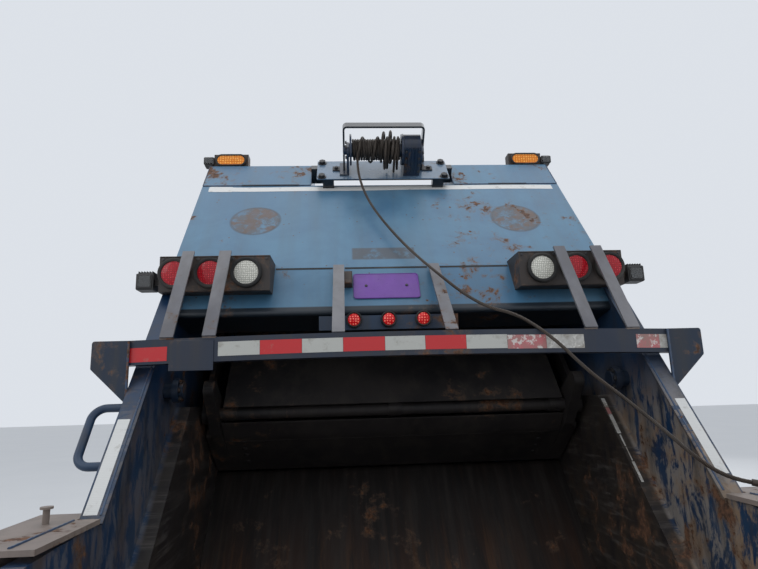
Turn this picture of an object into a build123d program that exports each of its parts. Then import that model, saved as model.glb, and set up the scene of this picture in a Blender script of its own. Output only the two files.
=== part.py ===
from build123d import *
import os
from math import asin, atan2, cos, hypot, pi, radians, sin, tan

# A rear-loading garbage truck: bonneted chassis cab, hollow body with an ejector, and a tailgate
# with hopper, packer, winch and lift cylinders. Millimetres; +Y is forward, +X the right-hand side,
# +Z up, z = 0 the ground, and x = y = 0 the middle of the whole truck.

# Whole truck
LENGTH = 8050.0
FRONT_Y = LENGTH / 2
REAR_Y = -LENGTH / 2
WELD = 0.3            # gap left where separate pieces seat on each other
RUN = 6.0             # gap left round what moves

# Tailgate, from the rear sill forwards
TAIL_HALF = 985.0
SIDE_T = 55.0         # thickness of a tailgate side
LINING_T = 60.0       # inner lining that narrows the hopper
SLOPE_DEG = 50.7      # rear slope above the horizontal
EAR_Z = 1380.0        # height of the side ledge where the slope starts
SLOPE_FOOT_Y = REAR_Y + 407.0
PANEL_T = 10.0        # plate of the slope and roof
PANEL_LOW_Z = 2295.0  # where the slope panel breaks into the steeper apron
APRON_DEG = 60.0
APRON_LOW_Z = 2060.0
TAIL_ROOF_Z = 2870.0
BOX_H = 180.0         # raised boxes each side of the winch, over the roof
BOX_TOP_Z = TAIL_ROOF_Z + BOX_H
BOX_IN_X = 397.0
SEAL_Y = REAR_Y + 2200.0  # plane where tailgate and body meet
BOX_FRONT_Y = SEAL_Y - 166.0
SEAL_GAP = 5.0        # from that plane to each side's steel
SILL_Z = 980.0
SILL_H = 130.0
SILL_D = 70.0
FLOOR_T = 12.0
RIB_XS = (-600.0, -200.0, 200.0, 600.0)
RIB_H = 50.0
RIB_START = 0.05      # share of the loading floor left plain behind the sill

# Packer inside the hopper
PIVOT_Y = REAR_Y + 1310.0  # sweep pivot with the slide raised
PIVOT_Z = 1660.0
PIVOT_R = 28.0
SLIDE_STROKE = 650.0
BOWL_R = 450.0        # bowl and front wall, from the pivot's line
BLADE_R = 420.0       # pivot to blade tip
BLADE_HALF = 860.0
SLIDE_HALF = 770.0
SLIDE_LEN = 700.0
SLIDE_T = 110.0
ARM_IN_X = 785.0
ARM_T = 45.0
GUIDE_IN_X = 840.0
GUIDE_T = 22.0
LIP_Z = 1380.0

# Chassis
FRAME_HALF = 432.0    # outside of the rails
FRAME_TOP_Z = 980.0
RAIL_H = 254.0
RAIL_W = 76.0
RAIL_T = 8.0
TYRE_R = 525.0
TYRE_W = 270.0
RIM_R = 286.0
FRONT_AXLE_Y = FRONT_Y - 1025.0
REAR_AXLE_Y = REAR_Y + 2850.0
FRONT_TRACK_X = 1020.0
KINGPIN_X = 880.0
TWIN_IN_X = 750.0
TWIN_OUT_X = 1080.0
HUB_R = 110.0

# Cab
CAB_HALF = 1000.0
CAB_FRONT_Y = FRONT_Y - 1385.0
CAB_BACK_Y = CAB_FRONT_Y - 1310.0
CAB_FLOOR_Z = 1000.0
COWL_Z = 1690.0
CAB_TOP_Z = 2480.0
SCREEN_TOP_Y = CAB_FRONT_Y - 400.0
CAB_WALL = 50.0
GLASS_T = 6.0
GLASS_IN = 20.0       # glass lies this far inside the outer skin
DOOR_BACK_Y = CAB_BACK_Y + 230.0
DOOR_FRONT_Y = CAB_FRONT_Y - 140.0
DOOR_GAP = 5.0
DOOR_LOW_Z = CAB_FLOOR_Z + CAB_WALL
DOOR_TOP_Z = 2360.0
BELT_Z = 1700.0       # bottom of the door windows

# Body
BODY_HALF = 1065.0    # over the posts
WALL_T = 30.0
POST_D = 35.0
BODY_FRONT_Y = CAB_BACK_Y - 255.0
BODY_FLOOR_Z = 1120.0
BODY_FLOOR_T = 40.0
BODY_ROOF_Z = 2950.0
ROOF_T = 30.0
HINGE_Y = SEAL_Y + 35.0
HINGE_Z = 3030.0
HINGE_R = 22.0
HINGE_X = 770.0
LUG_T = 40.0
EJECTOR_Y = BODY_FRONT_Y - 455.0
EJECTOR_T = 60.0

# Lift cylinders
LIFT_X = BODY_HALF + 60.0
LIFT_FOOT_Y = SEAL_Y + 925.0
LIFT_FOOT_Z = 1500.0
LIFT_EYE_Y = SEAL_Y - 265.0
LIFT_EYE_Z = 2400.0
BARREL_R = 45.0
ROD_R = 25.0

# Hood and bumper
HOOD_BACK_Y = CAB_FRONT_Y + 15.0
HOOD_FRONT_Y = FRONT_Y - 120.0
HOOD_T = 10.0
HOOD_HINGE_Z = 800.0
ARCH_R = 620.0
FENDER_HALF = 1180.0
BUMPER_LOW_Z = 480.0
BUMPER_TOP_Z = 780.0

# Winch on the tailgate's top
ROPE_R = 6.5
WINCH_PLATE_T = 10.0
WINCH_PLATE_UP = 50.0

SLOPE = radians(SLOPE_DEG)
UP_Y = cos(SLOPE)
UP_Z = sin(SLOPE)


def shifted(corners, distance, closed=False):
    """Corners (a, b, radius) moved by distance to the left of the way they are walked."""
    count = len(corners)
    moved = []
    for i, corner in enumerate(corners):
        before = corners[i - 1] if closed or i > 0 else None
        after = corners[(i + 1) % count] if closed or i < count - 1 else None
        ways = []
        for start, end in ((before, corner), (corner, after)):
            if start is not None and end is not None:
                run = hypot(end[0] - start[0], end[1] - start[1])
                ways.append(((end[0] - start[0]) / run, (end[1] - start[1]) / run))
        first, last = ways[0], ways[-1]
        scale = distance / (1 + first[0] * last[0] + first[1] * last[1])
        a = corner[0] - (first[1] + last[1]) * scale
        b = corner[1] + (first[0] + last[0]) * scale
        turn = first[0] * last[1] - first[1] * last[0]
        radius = corner[2] if len(corner) > 2 else 0
        if radius > 0:
            radius = max(radius - distance if turn > 0 else radius + distance, 0)
        moved.append((a, b, radius))
    return moved


def strip(corners, thickness):
    """Closed outline of a bent sheet: the walked path, and that path set over to its left."""
    return list(corners) + shifted(corners, thickness)[::-1]


def outline(corners):
    """Face bounded by straight runs through corners (a, b, radius), with a tangent arc at each radius."""
    count = len(corners)
    starts, middles, ends = [], [], []
    for i, corner in enumerate(corners):
        point = Vector(corner[0], corner[1])
        radius = corner[2] if len(corner) > 2 else 0
        if radius <= 0:
            starts.append(point)
            middles.append(None)
            ends.append(point)
            continue
        back = (Vector(*corners[i - 1][:2]) - point).normalized()
        ahead = (Vector(*corners[(i + 1) % count][:2]) - point).normalized()
        half = radians(back.get_angle(ahead)) / 2
        centre = point + (back + ahead).normalized() * (radius / sin(half))
        starts.append(point + back * (radius / tan(half)))
        middles.append(centre + (point - centre).normalized() * radius)
        ends.append(point + ahead * (radius / tan(half)))
    edges = []
    for i in range(count):
        if middles[i] is not None:
            edges.append(ThreePointArc(starts[i], middles[i], ends[i]))
        following = starts[(i + 1) % count]
        if (following - ends[i]).length > 1e-6:
            edges.append(Line(ends[i], following))
    return make_face(edges)


def side_prism(corners, x0, x1):
    """Outline in (y, z) carried from x0 to x1."""
    return extrude(Plane((x0, 0, 0), (0, 1, 0), (1, 0, 0)) * outline(corners), amount=x1 - x0)


def front_prism(corners, y0, y1):
    """Outline in (x, z) carried from y0 to y1."""
    return extrude(Plane((0, y1, 0), (1, 0, 0), (0, -1, 0)) * outline(corners), amount=y1 - y0)


def plan_prism(corners, z0, z1):
    """Outline in (x, y) carried from z0 to z1."""
    return extrude(Plane((0, 0, z0), (1, 0, 0), (0, 0, 1)) * outline(corners), amount=z1 - z0)


def block(x0, x1, y0, y1, z0, z1):
    """Box between two corners."""
    return Pos((x0 + x1) / 2, (y0 + y1) / 2, (z0 + z1) / 2) * Box(x1 - x0, y1 - y0, z1 - z0)


def rod(start, end, radius, bore=0):
    """Round bar or tube from one point to another."""
    axis = Vector(*end) - Vector(*start)
    place = Plane(Vector(*start), z_dir=axis)
    bar = extrude(place * Circle(radius), amount=axis.length)
    if bore > 0:
        bar -= extrude(place * Circle(bore), amount=axis.length)
    return bar


def bent_tube(points, radii, radius):
    """Round tube along straight runs joined by tangent arcs."""
    path = FilletPolyline(*points, radius=radii)
    return sweep(Plane(path @ 0, z_dir=path % 0) * Circle(radius), path=path)


def both_sides(shape):
    """A piece and its mirror image on the other side of the truck, as separate solids."""
    return Compound([*shape.solids(), *mirror(shape, about=Plane.YZ).solids()])


def group(*shapes):
    """Several solids that do not touch, kept as one node."""
    solids = []
    for shape in shapes:
        solids.extend(shape.solids())
    return Compound(solids)


def save(name, shape):
    """Write one node."""
    export_step(shape, "parts/" + name + ".step")


def slope_y(z, inset=0.0):
    """Y of the tailgate's slope at a height, or of a plane that lies inset inside it."""
    return SLOPE_FOOT_Y + (z - EAR_Z) / tan(SLOPE) + inset / sin(SLOPE)


def slope_place(z, proud=0.0):
    """Plane on the slope at height z: its x is +X, its y runs up the slope, its z points out."""
    origin = (0, slope_y(z) - UP_Z * proud, z + UP_Y * proud)
    return Plane(origin, (1, 0, 0), (0, -UP_Z, UP_Y))


def hopper_path():
    """Top of the hopper floor from the sill's return to the seal, as corners (y, z, radius)."""
    low = (PIVOT_Y - UP_Y * SLIDE_STROKE, PIVOT_Z - UP_Z * SLIDE_STROKE)
    sill = (REAR_Y, SILL_Z)
    reach = hypot(low[0] - sill[0], low[1] - sill[1])
    fall = asin(BOWL_R / reach) - atan2(low[1] - sill[1], low[0] - sill[0])
    wall = (low[0] + BOWL_R * UP_Z, low[1] - BOWL_R * UP_Y)
    bowl_y = (sill[1] - wall[1] + sill[0] * tan(fall) + wall[0] * tan(SLOPE)) / (tan(SLOPE) + tan(fall))
    bowl = (bowl_y, sill[1] - (bowl_y - sill[0]) * tan(fall), BOWL_R)
    lip = (wall[0] + (LIP_Z - wall[1]) / tan(SLOPE), LIP_Z, 40)
    chute = (SEAL_Y - SEAL_GAP, BODY_FLOOR_Z + BODY_FLOOR_T + 15)
    return sill, bowl, lip, chute


def apron_y(z):
    """Y of the steeper apron below the slope panel."""
    return slope_y(PANEL_LOW_Z) - (PANEL_LOW_Z - z) / tan(radians(APRON_DEG))


FOLD_D = 230.0        # depth and drop of the return below the apron
FOLD_DROP = 40.0
TAIL_IN = TAIL_HALF - SIDE_T
LINING_IN = TAIL_IN - LINING_T
HEM_T = 8.0           # plate along the slanted edge of each side
HEM_IN_X = TAIL_IN - 14.0
STEP_TOP = (slope_y(EAR_Z) + 709.0, 1695.0)
STEP_DEG = 48.9


def tail_sides():
    """Both side plates of the tailgate with the lining that narrows the hopper."""
    sill, bowl, lip, chute = hopper_path()
    under = shifted([sill, bowl, lip, chute], -FLOOR_T - 20)
    front = SEAL_Y - SEAL_GAP
    plate = [
        (REAR_Y, under[0][1]),
        under[1],
        under[2],
        (front, under[3][1]),
        (front, TAIL_ROOF_Z - PANEL_T - WELD),
        (slope_y(TAIL_ROOF_Z, PANEL_T), TAIL_ROOF_Z - PANEL_T - WELD),
        (slope_y(PANEL_LOW_Z, PANEL_T + WELD), PANEL_LOW_Z),
        (slope_y(PANEL_LOW_Z), PANEL_LOW_Z - 2),
        (SLOPE_FOOT_Y, EAR_Z),
        (REAR_Y + 35, EAR_Z - 18, 25),
        (REAR_Y, EAR_Z - 60),
    ]
    skin = side_prism(plate, TAIL_IN, TAIL_HALF)
    hem = side_prism(strip([(slope_y(PANEL_LOW_Z - 40), PANEL_LOW_Z - 40), (SLOPE_FOOT_Y, EAR_Z)], HEM_T),
                     HEM_IN_X, TAIL_HALF)
    surface = shifted([sill, bowl, lip, chute], WELD)
    rise = tan(radians(STEP_DEG))
    fall = (surface[0][1] - surface[1][1]) / (surface[1][0] - surface[0][0])
    level = surface[0][1] - fall * (STEP_TOP[0] - surface[0][0]) + fall * STEP_TOP[1] / rise
    start_z = level / (1 + fall / rise)
    start = (STEP_TOP[0] - (STEP_TOP[1] - start_z) / rise, start_z)
    lining = [start, surface[1], surface[2], surface[3], (front, STEP_TOP[1]), STEP_TOP]
    skin += side_prism(lining, LINING_IN, TAIL_IN)
    return both_sides(skin + hem)


PLATE_X = -37.0       # middle of the rear plate's place on the apron
PLATE_Z = 2190.0
PLATE_PITCH = 178.0   # between the two holes of a standard plate
PLATE_HOLE_R = 3.5


def tail_top():
    """Roof, slope panel and drilled apron as one folded plate, with the two raised boxes."""
    path = [
        (SEAL_Y - SEAL_GAP, TAIL_ROOF_Z),
        (slope_y(TAIL_ROOF_Z), TAIL_ROOF_Z, 12),
        (slope_y(PANEL_LOW_Z), PANEL_LOW_Z, 30),
        (apron_y(APRON_LOW_Z), APRON_LOW_Z, 15),
        (apron_y(APRON_LOW_Z) + FOLD_D, APRON_LOW_Z - FOLD_DROP),
    ]
    plate = side_prism(strip(path, PANEL_T), -TAIL_HALF, TAIL_HALF)
    notch = block(TAIL_IN - WELD, TAIL_HALF, apron_y(APRON_LOW_Z) - 5, slope_y(PANEL_LOW_Z) + 400,
                  APRON_LOW_Z - 60, PANEL_LOW_Z)
    plate -= notch
    plate -= mirror(notch, about=Plane.YZ)
    out = Vector(0, -sin(radians(APRON_DEG)), cos(radians(APRON_DEG)))
    for x in (PLATE_X - PLATE_PITCH / 2, PLATE_X + PLATE_PITCH / 2):
        hole = Vector(x, apron_y(PLATE_Z), PLATE_Z)
        plate -= rod(hole + out * PANEL_T, hole - out * 2 * PANEL_T, PLATE_HOLE_R)
    lid = [
        (slope_y(TAIL_ROOF_Z + WELD), TAIL_ROOF_Z + WELD),
        (BOX_FRONT_Y, TAIL_ROOF_Z + WELD),
        (BOX_FRONT_Y, BOX_TOP_Z, 20),
        (slope_y(BOX_TOP_Z), BOX_TOP_Z, 8),
    ]
    raised = side_prism(lid, BOX_IN_X, TAIL_HALF)
    raised -= side_prism(shifted(lid, PANEL_T, closed=True), BOX_IN_X + PANEL_T, TAIL_HALF - PANEL_T)
    y = slope_y(BOX_TOP_Z) + AMBER_IN
    raised += block(AMBER_X - AMBER_W / 2 - AMBER_PAD_EDGE, TAIL_HALF, y - AMBER_PAD_EDGE,
                    y + AMBER_D + AMBER_PAD_EDGE, BOX_TOP_Z - 1, BOX_TOP_Z + AMBER_PAD_T)
    return group(plate, both_sides(raised))


def hopper_floor():
    """Sill, loading floor, bowl, front wall and chute as one rolled plate."""
    sill, bowl, lip, chute = hopper_path()
    path = [
        (REAR_Y + SILL_D, SILL_Z - SILL_H),
        (REAR_Y, SILL_Z - SILL_H, 15),
        (sill[0], sill[1], 15),
        bowl,
        lip,
        chute,
    ]
    floor = side_prism(strip(path, -FLOOR_T), -TAIL_IN + WELD, TAIL_IN - WELD)
    start = (sill[0] + (bowl[0] - sill[0]) * RIB_START, sill[1] + (bowl[1] - sill[1]) * RIB_START)
    run = [start, bowl, lip[:2]]
    for x in RIB_XS:
        rib = shifted(run, -FLOOR_T + 1) + shifted(run, -FLOOR_T - RIB_H)[::-1]
        floor += side_prism(rib, x - 5, x + 5)
    return floor


BEAM_HALF = 1030.0
BEAM_Y = REAR_Y + 725.0
BEAM_D = 60.0
BEAM_LOW_Z = 1845.0
BEAM_H = 88.0
BEAM_BOW = 14.0
BEAM_T = 8.0
WING_TIP_X = 1115.0
WING_LOW_Z = 1710.0


def beam_top(x):
    """Height of the bowed beam's top at a distance x from the middle."""
    radius = 0.49 * BEAM_HALF ** 2 / BEAM_BOW
    return BEAM_LOW_Z + BEAM_H + (radius ** 2 - x ** 2) ** 0.5 - (radius ** 2 - BEAM_HALF ** 2) ** 0.5


def beam_edge(z):
    """One long edge of the beam, bowed up in the middle, from right to left."""
    radius = 0.49 * BEAM_HALF ** 2 / BEAM_BOW
    return [(BEAM_HALF, z), (0, z + 2 * BEAM_BOW, radius), (-BEAM_HALF, z)]


def tail_beam():
    """Cross beam over the hopper mouth with its end wings, guard bars and pin bosses."""
    low, high = BEAM_LOW_Z, BEAM_LOW_Z + BEAM_H
    web = front_prism(beam_edge(high) + beam_edge(low)[::-1], BEAM_Y, BEAM_Y + BEAM_T)
    for z in (low, high - BEAM_T):
        flange = beam_edge(z + BEAM_T) + beam_edge(z)[::-1]
        web += front_prism(flange, BEAM_Y, BEAM_Y + BEAM_D)
    return web


GUARD_W = 48.0
GUARD_T = 9.0
# x, top y, top z, foot y: one row for each flat bar
GUARDS = (
    (-860, REAR_Y + 971, 2322, BEAM_Y),
    (-710, REAR_Y + 971, 2322, BEAM_Y),
    (-245, REAR_Y + 1133, 2292, BEAM_Y + 30),
    (180, REAR_Y + 1133, 2292, BEAM_Y + 30),
    (700, REAR_Y + 971, 2322, BEAM_Y),
    (860, REAR_Y + 971, 2322, BEAM_Y),
)


def guard_bars():
    """Six flat bars from the lamp housings and apron down to the beam's top flange."""
    bars = []
    for x, top_y, top_z, foot_y in GUARDS:
        rise = beam_top(max(abs(x) - GUARD_W / 2, 0)) + WELD
        bar = strip([(foot_y, rise), (top_y, top_z)], GUARD_T)
        bars.append(side_prism(bar, x - GUARD_W / 2, x + GUARD_W / 2))
    return group(*bars)


def beam_wings():
    """Gusset wings that tie the beam's ends to the tailgate sides, and the pin bosses under it."""
    wing = [
        (TAIL_HALF + WELD, BEAM_LOW_Z + BEAM_H),
        (TAIL_HALF + WELD, WING_LOW_Z),
        (WING_TIP_X, BEAM_LOW_Z - 10, 10),
        (WING_TIP_X, BEAM_LOW_Z + BEAM_H, 10),
    ]
    plate = front_prism(wing, BEAM_Y - 10, BEAM_Y - WELD)
    shelf = block(BEAM_HALF + WELD, WING_TIP_X, BEAM_Y - 1, BEAM_Y + BEAM_D, BEAM_LOW_Z + BEAM_H - 10,
                  BEAM_LOW_Z + BEAM_H)
    y, z = BEAM_Y + 240, BEAM_LOW_Z - 85
    boss = rod((TAIL_IN - 75, y, z), (TAIL_IN - WELD, y, z), 32)
    boss += rod((TAIL_IN - 60, y, z), (TAIL_IN - 35, y, z), 48)
    return group(both_sides(plate + shelf), both_sides(boss))


LAMP_R = 51.0
LAMP_Z = 2238.0
LAMP_BOX_IN_X = 530.0
LAMP_BOX_LOW_Z = 2160.0
LAMP_BOX_TOP_Z = 2312.0
LAMP_FACE_Y = REAR_Y + 992.0
LAMP_PROUD = 12.0
LAMP_SEAT = 18.0
RED_XS = (924.0, 777.0)
CLEAR_X = 627.5
MARKER_XS = (-183.0, -37.0, 109.0)
MARKER_R = 27.0
MARKER_Z = 2033.0
WORK_X = 1045.0
WORK_SIZE = 68.0
AMBER_X = 868.0
AMBER_W = 196.0
AMBER_H = 80.0
AMBER_D = 62.0
AMBER_PAD_T = 3.0     # doubler under each lamp on the top boxes
AMBER_PAD_EDGE = 6.0
AMBER_IN = 20.0       # from the box's rear edge to the lamp's face


def lamp_disc(x, grow=0.0):
    """Round lamp body set into a housing's face."""
    front, back = LAMP_FACE_Y - LAMP_PROUD, LAMP_FACE_Y + LAMP_SEAT + grow
    return rod((x, front, LAMP_Z), (x, back, LAMP_Z), LAMP_R + grow)


def lamp_housings():
    """Lamp boxes on the apron, amber lamp boxes on the top, and small work lamps beside them."""
    shell = [
        (LAMP_FACE_Y, LAMP_BOX_LOW_Z),
        (apron_y(LAMP_BOX_LOW_Z) - WELD, LAMP_BOX_LOW_Z),
        (apron_y(PANEL_LOW_Z) - WELD, PANEL_LOW_Z),
        (slope_y(LAMP_BOX_TOP_Z) - WELD, LAMP_BOX_TOP_Z),
        (LAMP_FACE_Y, LAMP_BOX_TOP_Z),
    ]
    box = side_prism(shell, LAMP_BOX_IN_X, HEM_IN_X - WELD)
    end = [
        (LAMP_FACE_Y, LAMP_BOX_LOW_Z),
        (slope_y(LAMP_BOX_LOW_Z) - WELD, LAMP_BOX_LOW_Z),
        (slope_y(LAMP_BOX_TOP_Z) - WELD, LAMP_BOX_TOP_Z),
        (LAMP_FACE_Y, LAMP_BOX_TOP_Z),
    ]
    box += side_prism(end, HEM_IN_X - 2, TAIL_HALF)
    for x in (*RED_XS, CLEAR_X):
        box -= lamp_disc(x, WELD)
    work = block(WORK_X - WORK_SIZE / 2, WORK_X + WORK_SIZE / 2, LAMP_FACE_Y + 10, LAMP_FACE_Y + 75,
                 LAMP_BOX_LOW_Z + 15, LAMP_BOX_LOW_Z + 15 + WORK_SIZE)
    work += block(TAIL_HALF - 1, WORK_X, LAMP_FACE_Y + 35, LAMP_FACE_Y + 55, LAMP_BOX_LOW_Z + 35,
                  LAMP_BOX_LOW_Z + 60)
    y = slope_y(BOX_TOP_Z) + AMBER_IN
    top = block(AMBER_X - AMBER_W / 2, AMBER_X + AMBER_W / 2, y, y + AMBER_D, BOX_TOP_Z + AMBER_PAD_T + WELD,
                BOX_TOP_Z + AMBER_H)
    top += block(AMBER_X + AMBER_W / 2 - 1, AMBER_X + AMBER_W / 2 + 55, y + 8, y + 50, BOX_TOP_Z + 12,
                 BOX_TOP_Z + 58)
    return group(both_sides(box + work), both_sides(top))


def red_lamps():
    """Four red lamps in the housings and three small ones on a bar under the apron."""
    lamps = [both_sides(lamp_disc(x)) for x in RED_XS]
    y = apron_y(APRON_LOW_Z) + 10
    for x in MARKER_XS:
        lamps.append(rod((x, y - 22, MARKER_Z), (x, y, MARKER_Z), MARKER_R))
    return group(*lamps)


def apron_fold_z(y):
    """Height of the underside of the apron's return at y."""
    return APRON_LOW_Z - FOLD_DROP / FOLD_D * (y - apron_y(APRON_LOW_Z))


def marker_bar():
    """Bar under the apron that carries the three small lamps."""
    y = apron_y(APRON_LOW_Z) + 10
    bar = [
        (y + WELD, MARKER_Z - 40),
        (y + 25, MARKER_Z - 40),
        (y + 25, MARKER_Z + 10),
        (y + 60, apron_fold_z(y + 60) - WELD),
        (y + 32, apron_fold_z(y + 32) - WELD),
        (y + WELD, MARKER_Z + 20),
    ]
    return side_prism(bar, -330, 260)


def clear_lamps():
    """White reversing lamps, one in each housing."""
    return both_sides(lamp_disc(CLEAR_X))


def amber_lamps():
    """Oval amber lenses on the top boxes."""
    y = slope_y(BOX_TOP_Z) + AMBER_IN
    z = BOX_TOP_Z + AMBER_H / 2
    half, r = 78.0, 28.0
    lens = front_prism([(AMBER_X - half, z - r, r - 1), (AMBER_X + half, z - r, r - 1),
                        (AMBER_X + half, z + r, r - 1), (AMBER_X - half, z + r, r - 1)], y - 16, y - WELD)
    return both_sides(lens)


WINCH_Z = 2920.0      # height on the slope of the point under the winch plate's middle
WINCH_HALF = 362.0
WINCH_LEN = 205.0
DRUM_R = 38.0
DRUM_UP = 125.0       # drum axis above the winch plate
DRUM_X0 = -172.0
DRUM_X1 = 95.0
FLANGE_R = 82.0
HOOP_HALF = 218.0
HOOP_UP = 262.0
HOOP_T = 10.0
HOOP_W = 50.0


def winch_base():
    """Plate parallel to the slope on two feet, with the guard hoop that stands on it."""
    place = slope_place(WINCH_Z, WINCH_PLATE_UP)
    plate = place * Pos(0, 0, WINCH_PLATE_T / 2) * Box(2 * WINCH_HALF, WINCH_LEN, WINCH_PLATE_T)
    feet = []
    for x in (-300, 300):
        foot = place * Pos(x, -WINCH_LEN / 2 + 26, -WINCH_PLATE_UP / 2 + WELD / 2) * Box(
            60, 44, WINCH_PLATE_UP - WELD)
        feet.append(foot)
    for side in (-1, 1):
        x0, x1 = sorted((side * (WINCH_HALF - 30), side * (BOX_IN_X - WELD)))
        foot = place * Pos((x0 + x1) / 2, 50, -45) * Box(x1 - x0, 40, 92)
        feet.append(foot)
    for foot in feet:
        plate += foot
    path = [
        (-HOOP_HALF, 0),
        (-HOOP_HALF, HOOP_UP, 22),
        (HOOP_HALF, HOOP_UP, 22),
        (HOOP_HALF, 0),
    ]
    hoop = extrude(outline(strip(path, -HOOP_T)), amount=HOOP_W)
    stand = Plane(place.from_local_coords((0, 30, WINCH_PLATE_T)), (1, 0, 0), (0, -UP_Y, -UP_Z))
    return plate + stand * hoop


def winch():
    """Drum, its flanges and side plate, the gear case and the motor, on one cross shaft."""
    place = slope_place(WINCH_Z, WINCH_PLATE_UP + WINCH_PLATE_T + WELD)

    def disc(x0, x1, radius):
        across = place * Plane((x0, -12, DRUM_UP), (0, 1, 0), (1, 0, 0))
        return across * extrude(Circle(radius), amount=x1 - x0)

    body = disc(DRUM_X0 - 14, DRUM_X1 + 14, DRUM_R)
    body += disc(DRUM_X0 - 8, DRUM_X0, FLANGE_R)
    body += disc(DRUM_X1, DRUM_X1 + 8, FLANGE_R)
    stand = [(-62, 0), (62, 0), (40, DRUM_UP + 30, 30), (-64, DRUM_UP + 30, 30)]
    turned = place * Plane((DRUM_X0 - 26, 0, 0), (0, 1, 0), (1, 0, 0))
    body += turned * extrude(outline(stand), amount=12)
    body += disc(DRUM_X0 - 33, DRUM_X0 - 20, 26)
    case = [(-75, 0), (60, 0), (60, 150, 40), (0, 215, 40), (-75, 190, 45)]
    shell = place * Plane((DRUM_X1 + 14, 0, 0), (0, 1, 0), (1, 0, 0)) * extrude(outline(case), amount=88)
    motor = place * Plane((DRUM_X1 + 56, -8, 140), (0, 1, 0), (1, 0, 0)) * extrude(Circle(44), amount=50)
    return body + shell + motor


# x, radius, 1 where the turn stands up off the winding or -1 where it hangs from it: loose turns
LOOSE_TURNS = (
    (-4, 78, 1),
    (16, 88, -1),
    (36, 81, 1),
    (56, 91, -1),
    (76, 84, -1),
)


def rope_winding():
    """Wire rope wound on the drum, and the loose turns on its right half."""
    place = slope_place(WINCH_Z, WINCH_PLATE_UP + WINCH_PLATE_T + WELD)
    at = place * Plane((DRUM_X0 + WELD, -12, DRUM_UP), (0, 1, 0), (1, 0, 0))
    wound = at * extrude(Circle(DRUM_R + 3 * ROPE_R), amount=DRUM_X1 - DRUM_X0 - 2 * WELD)
    wound -= at * extrude(Circle(DRUM_R + WELD), amount=DRUM_X1 - DRUM_X0 - 2 * WELD)
    axis = place.from_local_coords((0, -12, DRUM_UP))
    for x, radius, way in LOOSE_TURNS:
        rise = way * (radius - DRUM_R - 4 * ROPE_R + 1)
        wound += Plane((x, axis.Y, axis.Z + rise), (0, 1, 0), (1, 0, 0)) * Torus(radius, ROPE_R)
    return wound


EAR_OUT_X = 1135.0
EAR_T = 14.0


def container_ears():
    """Flat ledge plates on the hopper's side walls with slotted hook plates for a container's pins."""
    ledge = block(TAIL_IN - 10, EAR_OUT_X, SLOPE_FOOT_Y - 350, SLOPE_FOOT_Y + 95,
                  EAR_Z + WELD, EAR_Z + EAR_T)
    nose = side_prism([(SLOPE_FOOT_Y - 300, EAR_Z + 1), (SLOPE_FOOT_Y - 300, EAR_Z - 150, 30),
                       (SLOPE_FOOT_Y - 180, EAR_Z - 230, 30), (SLOPE_FOOT_Y - 20, EAR_Z - 230, 30),
                       (SLOPE_FOOT_Y + 60, EAR_Z + 1)], TAIL_HALF + 40, TAIL_HALF + 60)
    slot = side_prism([(SLOPE_FOOT_Y - 215, EAR_Z + 20), (SLOPE_FOOT_Y - 160, EAR_Z - 90, 27),
                       (SLOPE_FOOT_Y - 105, EAR_Z - 90, 27), (SLOPE_FOOT_Y - 130, EAR_Z + 20)],
                      TAIL_HALF + 30, TAIL_HALF + 70)
    gusset = plan_prism([(TAIL_HALF + WELD, SLOPE_FOOT_Y - 20), (TAIL_HALF + 50, SLOPE_FOOT_Y - 20),
                         (TAIL_HALF + 50, SLOPE_FOOT_Y), (TAIL_HALF + WELD, SLOPE_FOOT_Y)],
                        EAR_Z - 200, EAR_Z + 1)
    end, before = Vector(*ROPE_ROUTE[-1]), Vector(*ROPE_ROUTE[-2])
    post = end + (end - before).normalized() * HOOK_REACH
    ledge += rod((post.X, post.Y, EAR_Z + 2), (post.X, post.Y, post.Z + 20), 9)
    ledge += rod((post.X, post.Y, post.Z + 17), (post.X, post.Y, post.Z + 23), 17)
    cut = block(TAIL_IN - 20, TAIL_HALF, SLOPE_FOOT_Y - 5, SLOPE_FOOT_Y + 200, EAR_Z - 10, EAR_Z + 40)
    return both_sides(ledge - cut + (nose - slot) + gusset)


HANDLE_OUT = 95.0     # reach of the grab handle and of the step rails


def grab_handles():
    """Bent tube handle on the tailgate's left side, and the riding steps with their rails on both."""
    y, low, high = slope_y(1600) + 45, 1520.0, 1700.0
    handle = bent_tube([(-TAIL_HALF - WELD, y - 60, low), (-TAIL_HALF - HANDLE_OUT, y - 60, low),
                        (-TAIL_HALF - HANDLE_OUT, y + 60, high), (-TAIL_HALF - WELD, y + 60, high)],
                       (45, 45), 14)
    tread = block(TAIL_HALF + 15, TAIL_HALF + 165, REAR_Y + 120, REAR_Y + 560, 455, 480)
    arm = block(TAIL_HALF + WELD, TAIL_HALF + 16, REAR_Y + 150, REAR_Y + 200, 456, 1150)
    arm += block(TAIL_HALF + WELD, TAIL_HALF + 16, REAR_Y + 480, REAR_Y + 530, 456, 1150)
    rail = bent_tube([(TAIL_HALF + WELD, REAR_Y + 340, 1120), (TAIL_HALF + HANDLE_OUT, REAR_Y + 340, 1120),
                      (TAIL_HALF + HANDLE_OUT, REAR_Y + 340, 700), (TAIL_HALF + WELD, REAR_Y + 340, 700)],
                     (45, 45), 14)
    return group(handle, both_sides(tread + arm), both_sides(rail))


def packer_local(points, x0, x1):
    """Prism across the hopper from corners (forwards, up, radius) that are square to the slide's way."""
    moved = []
    for corner in points:
        y = PIVOT_Y + corner[0] * UP_Z + corner[1] * UP_Y
        z = PIVOT_Z - corner[0] * UP_Y + corner[1] * UP_Z
        moved.append((y, z, *corner[2:]))
    return side_prism(moved, x0, x1)


PAD_ALONG = (60.0, 620.0)   # round wear pads on the slide's side bars, from the pivot up the way
PAD_GAP = 0.5


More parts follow.
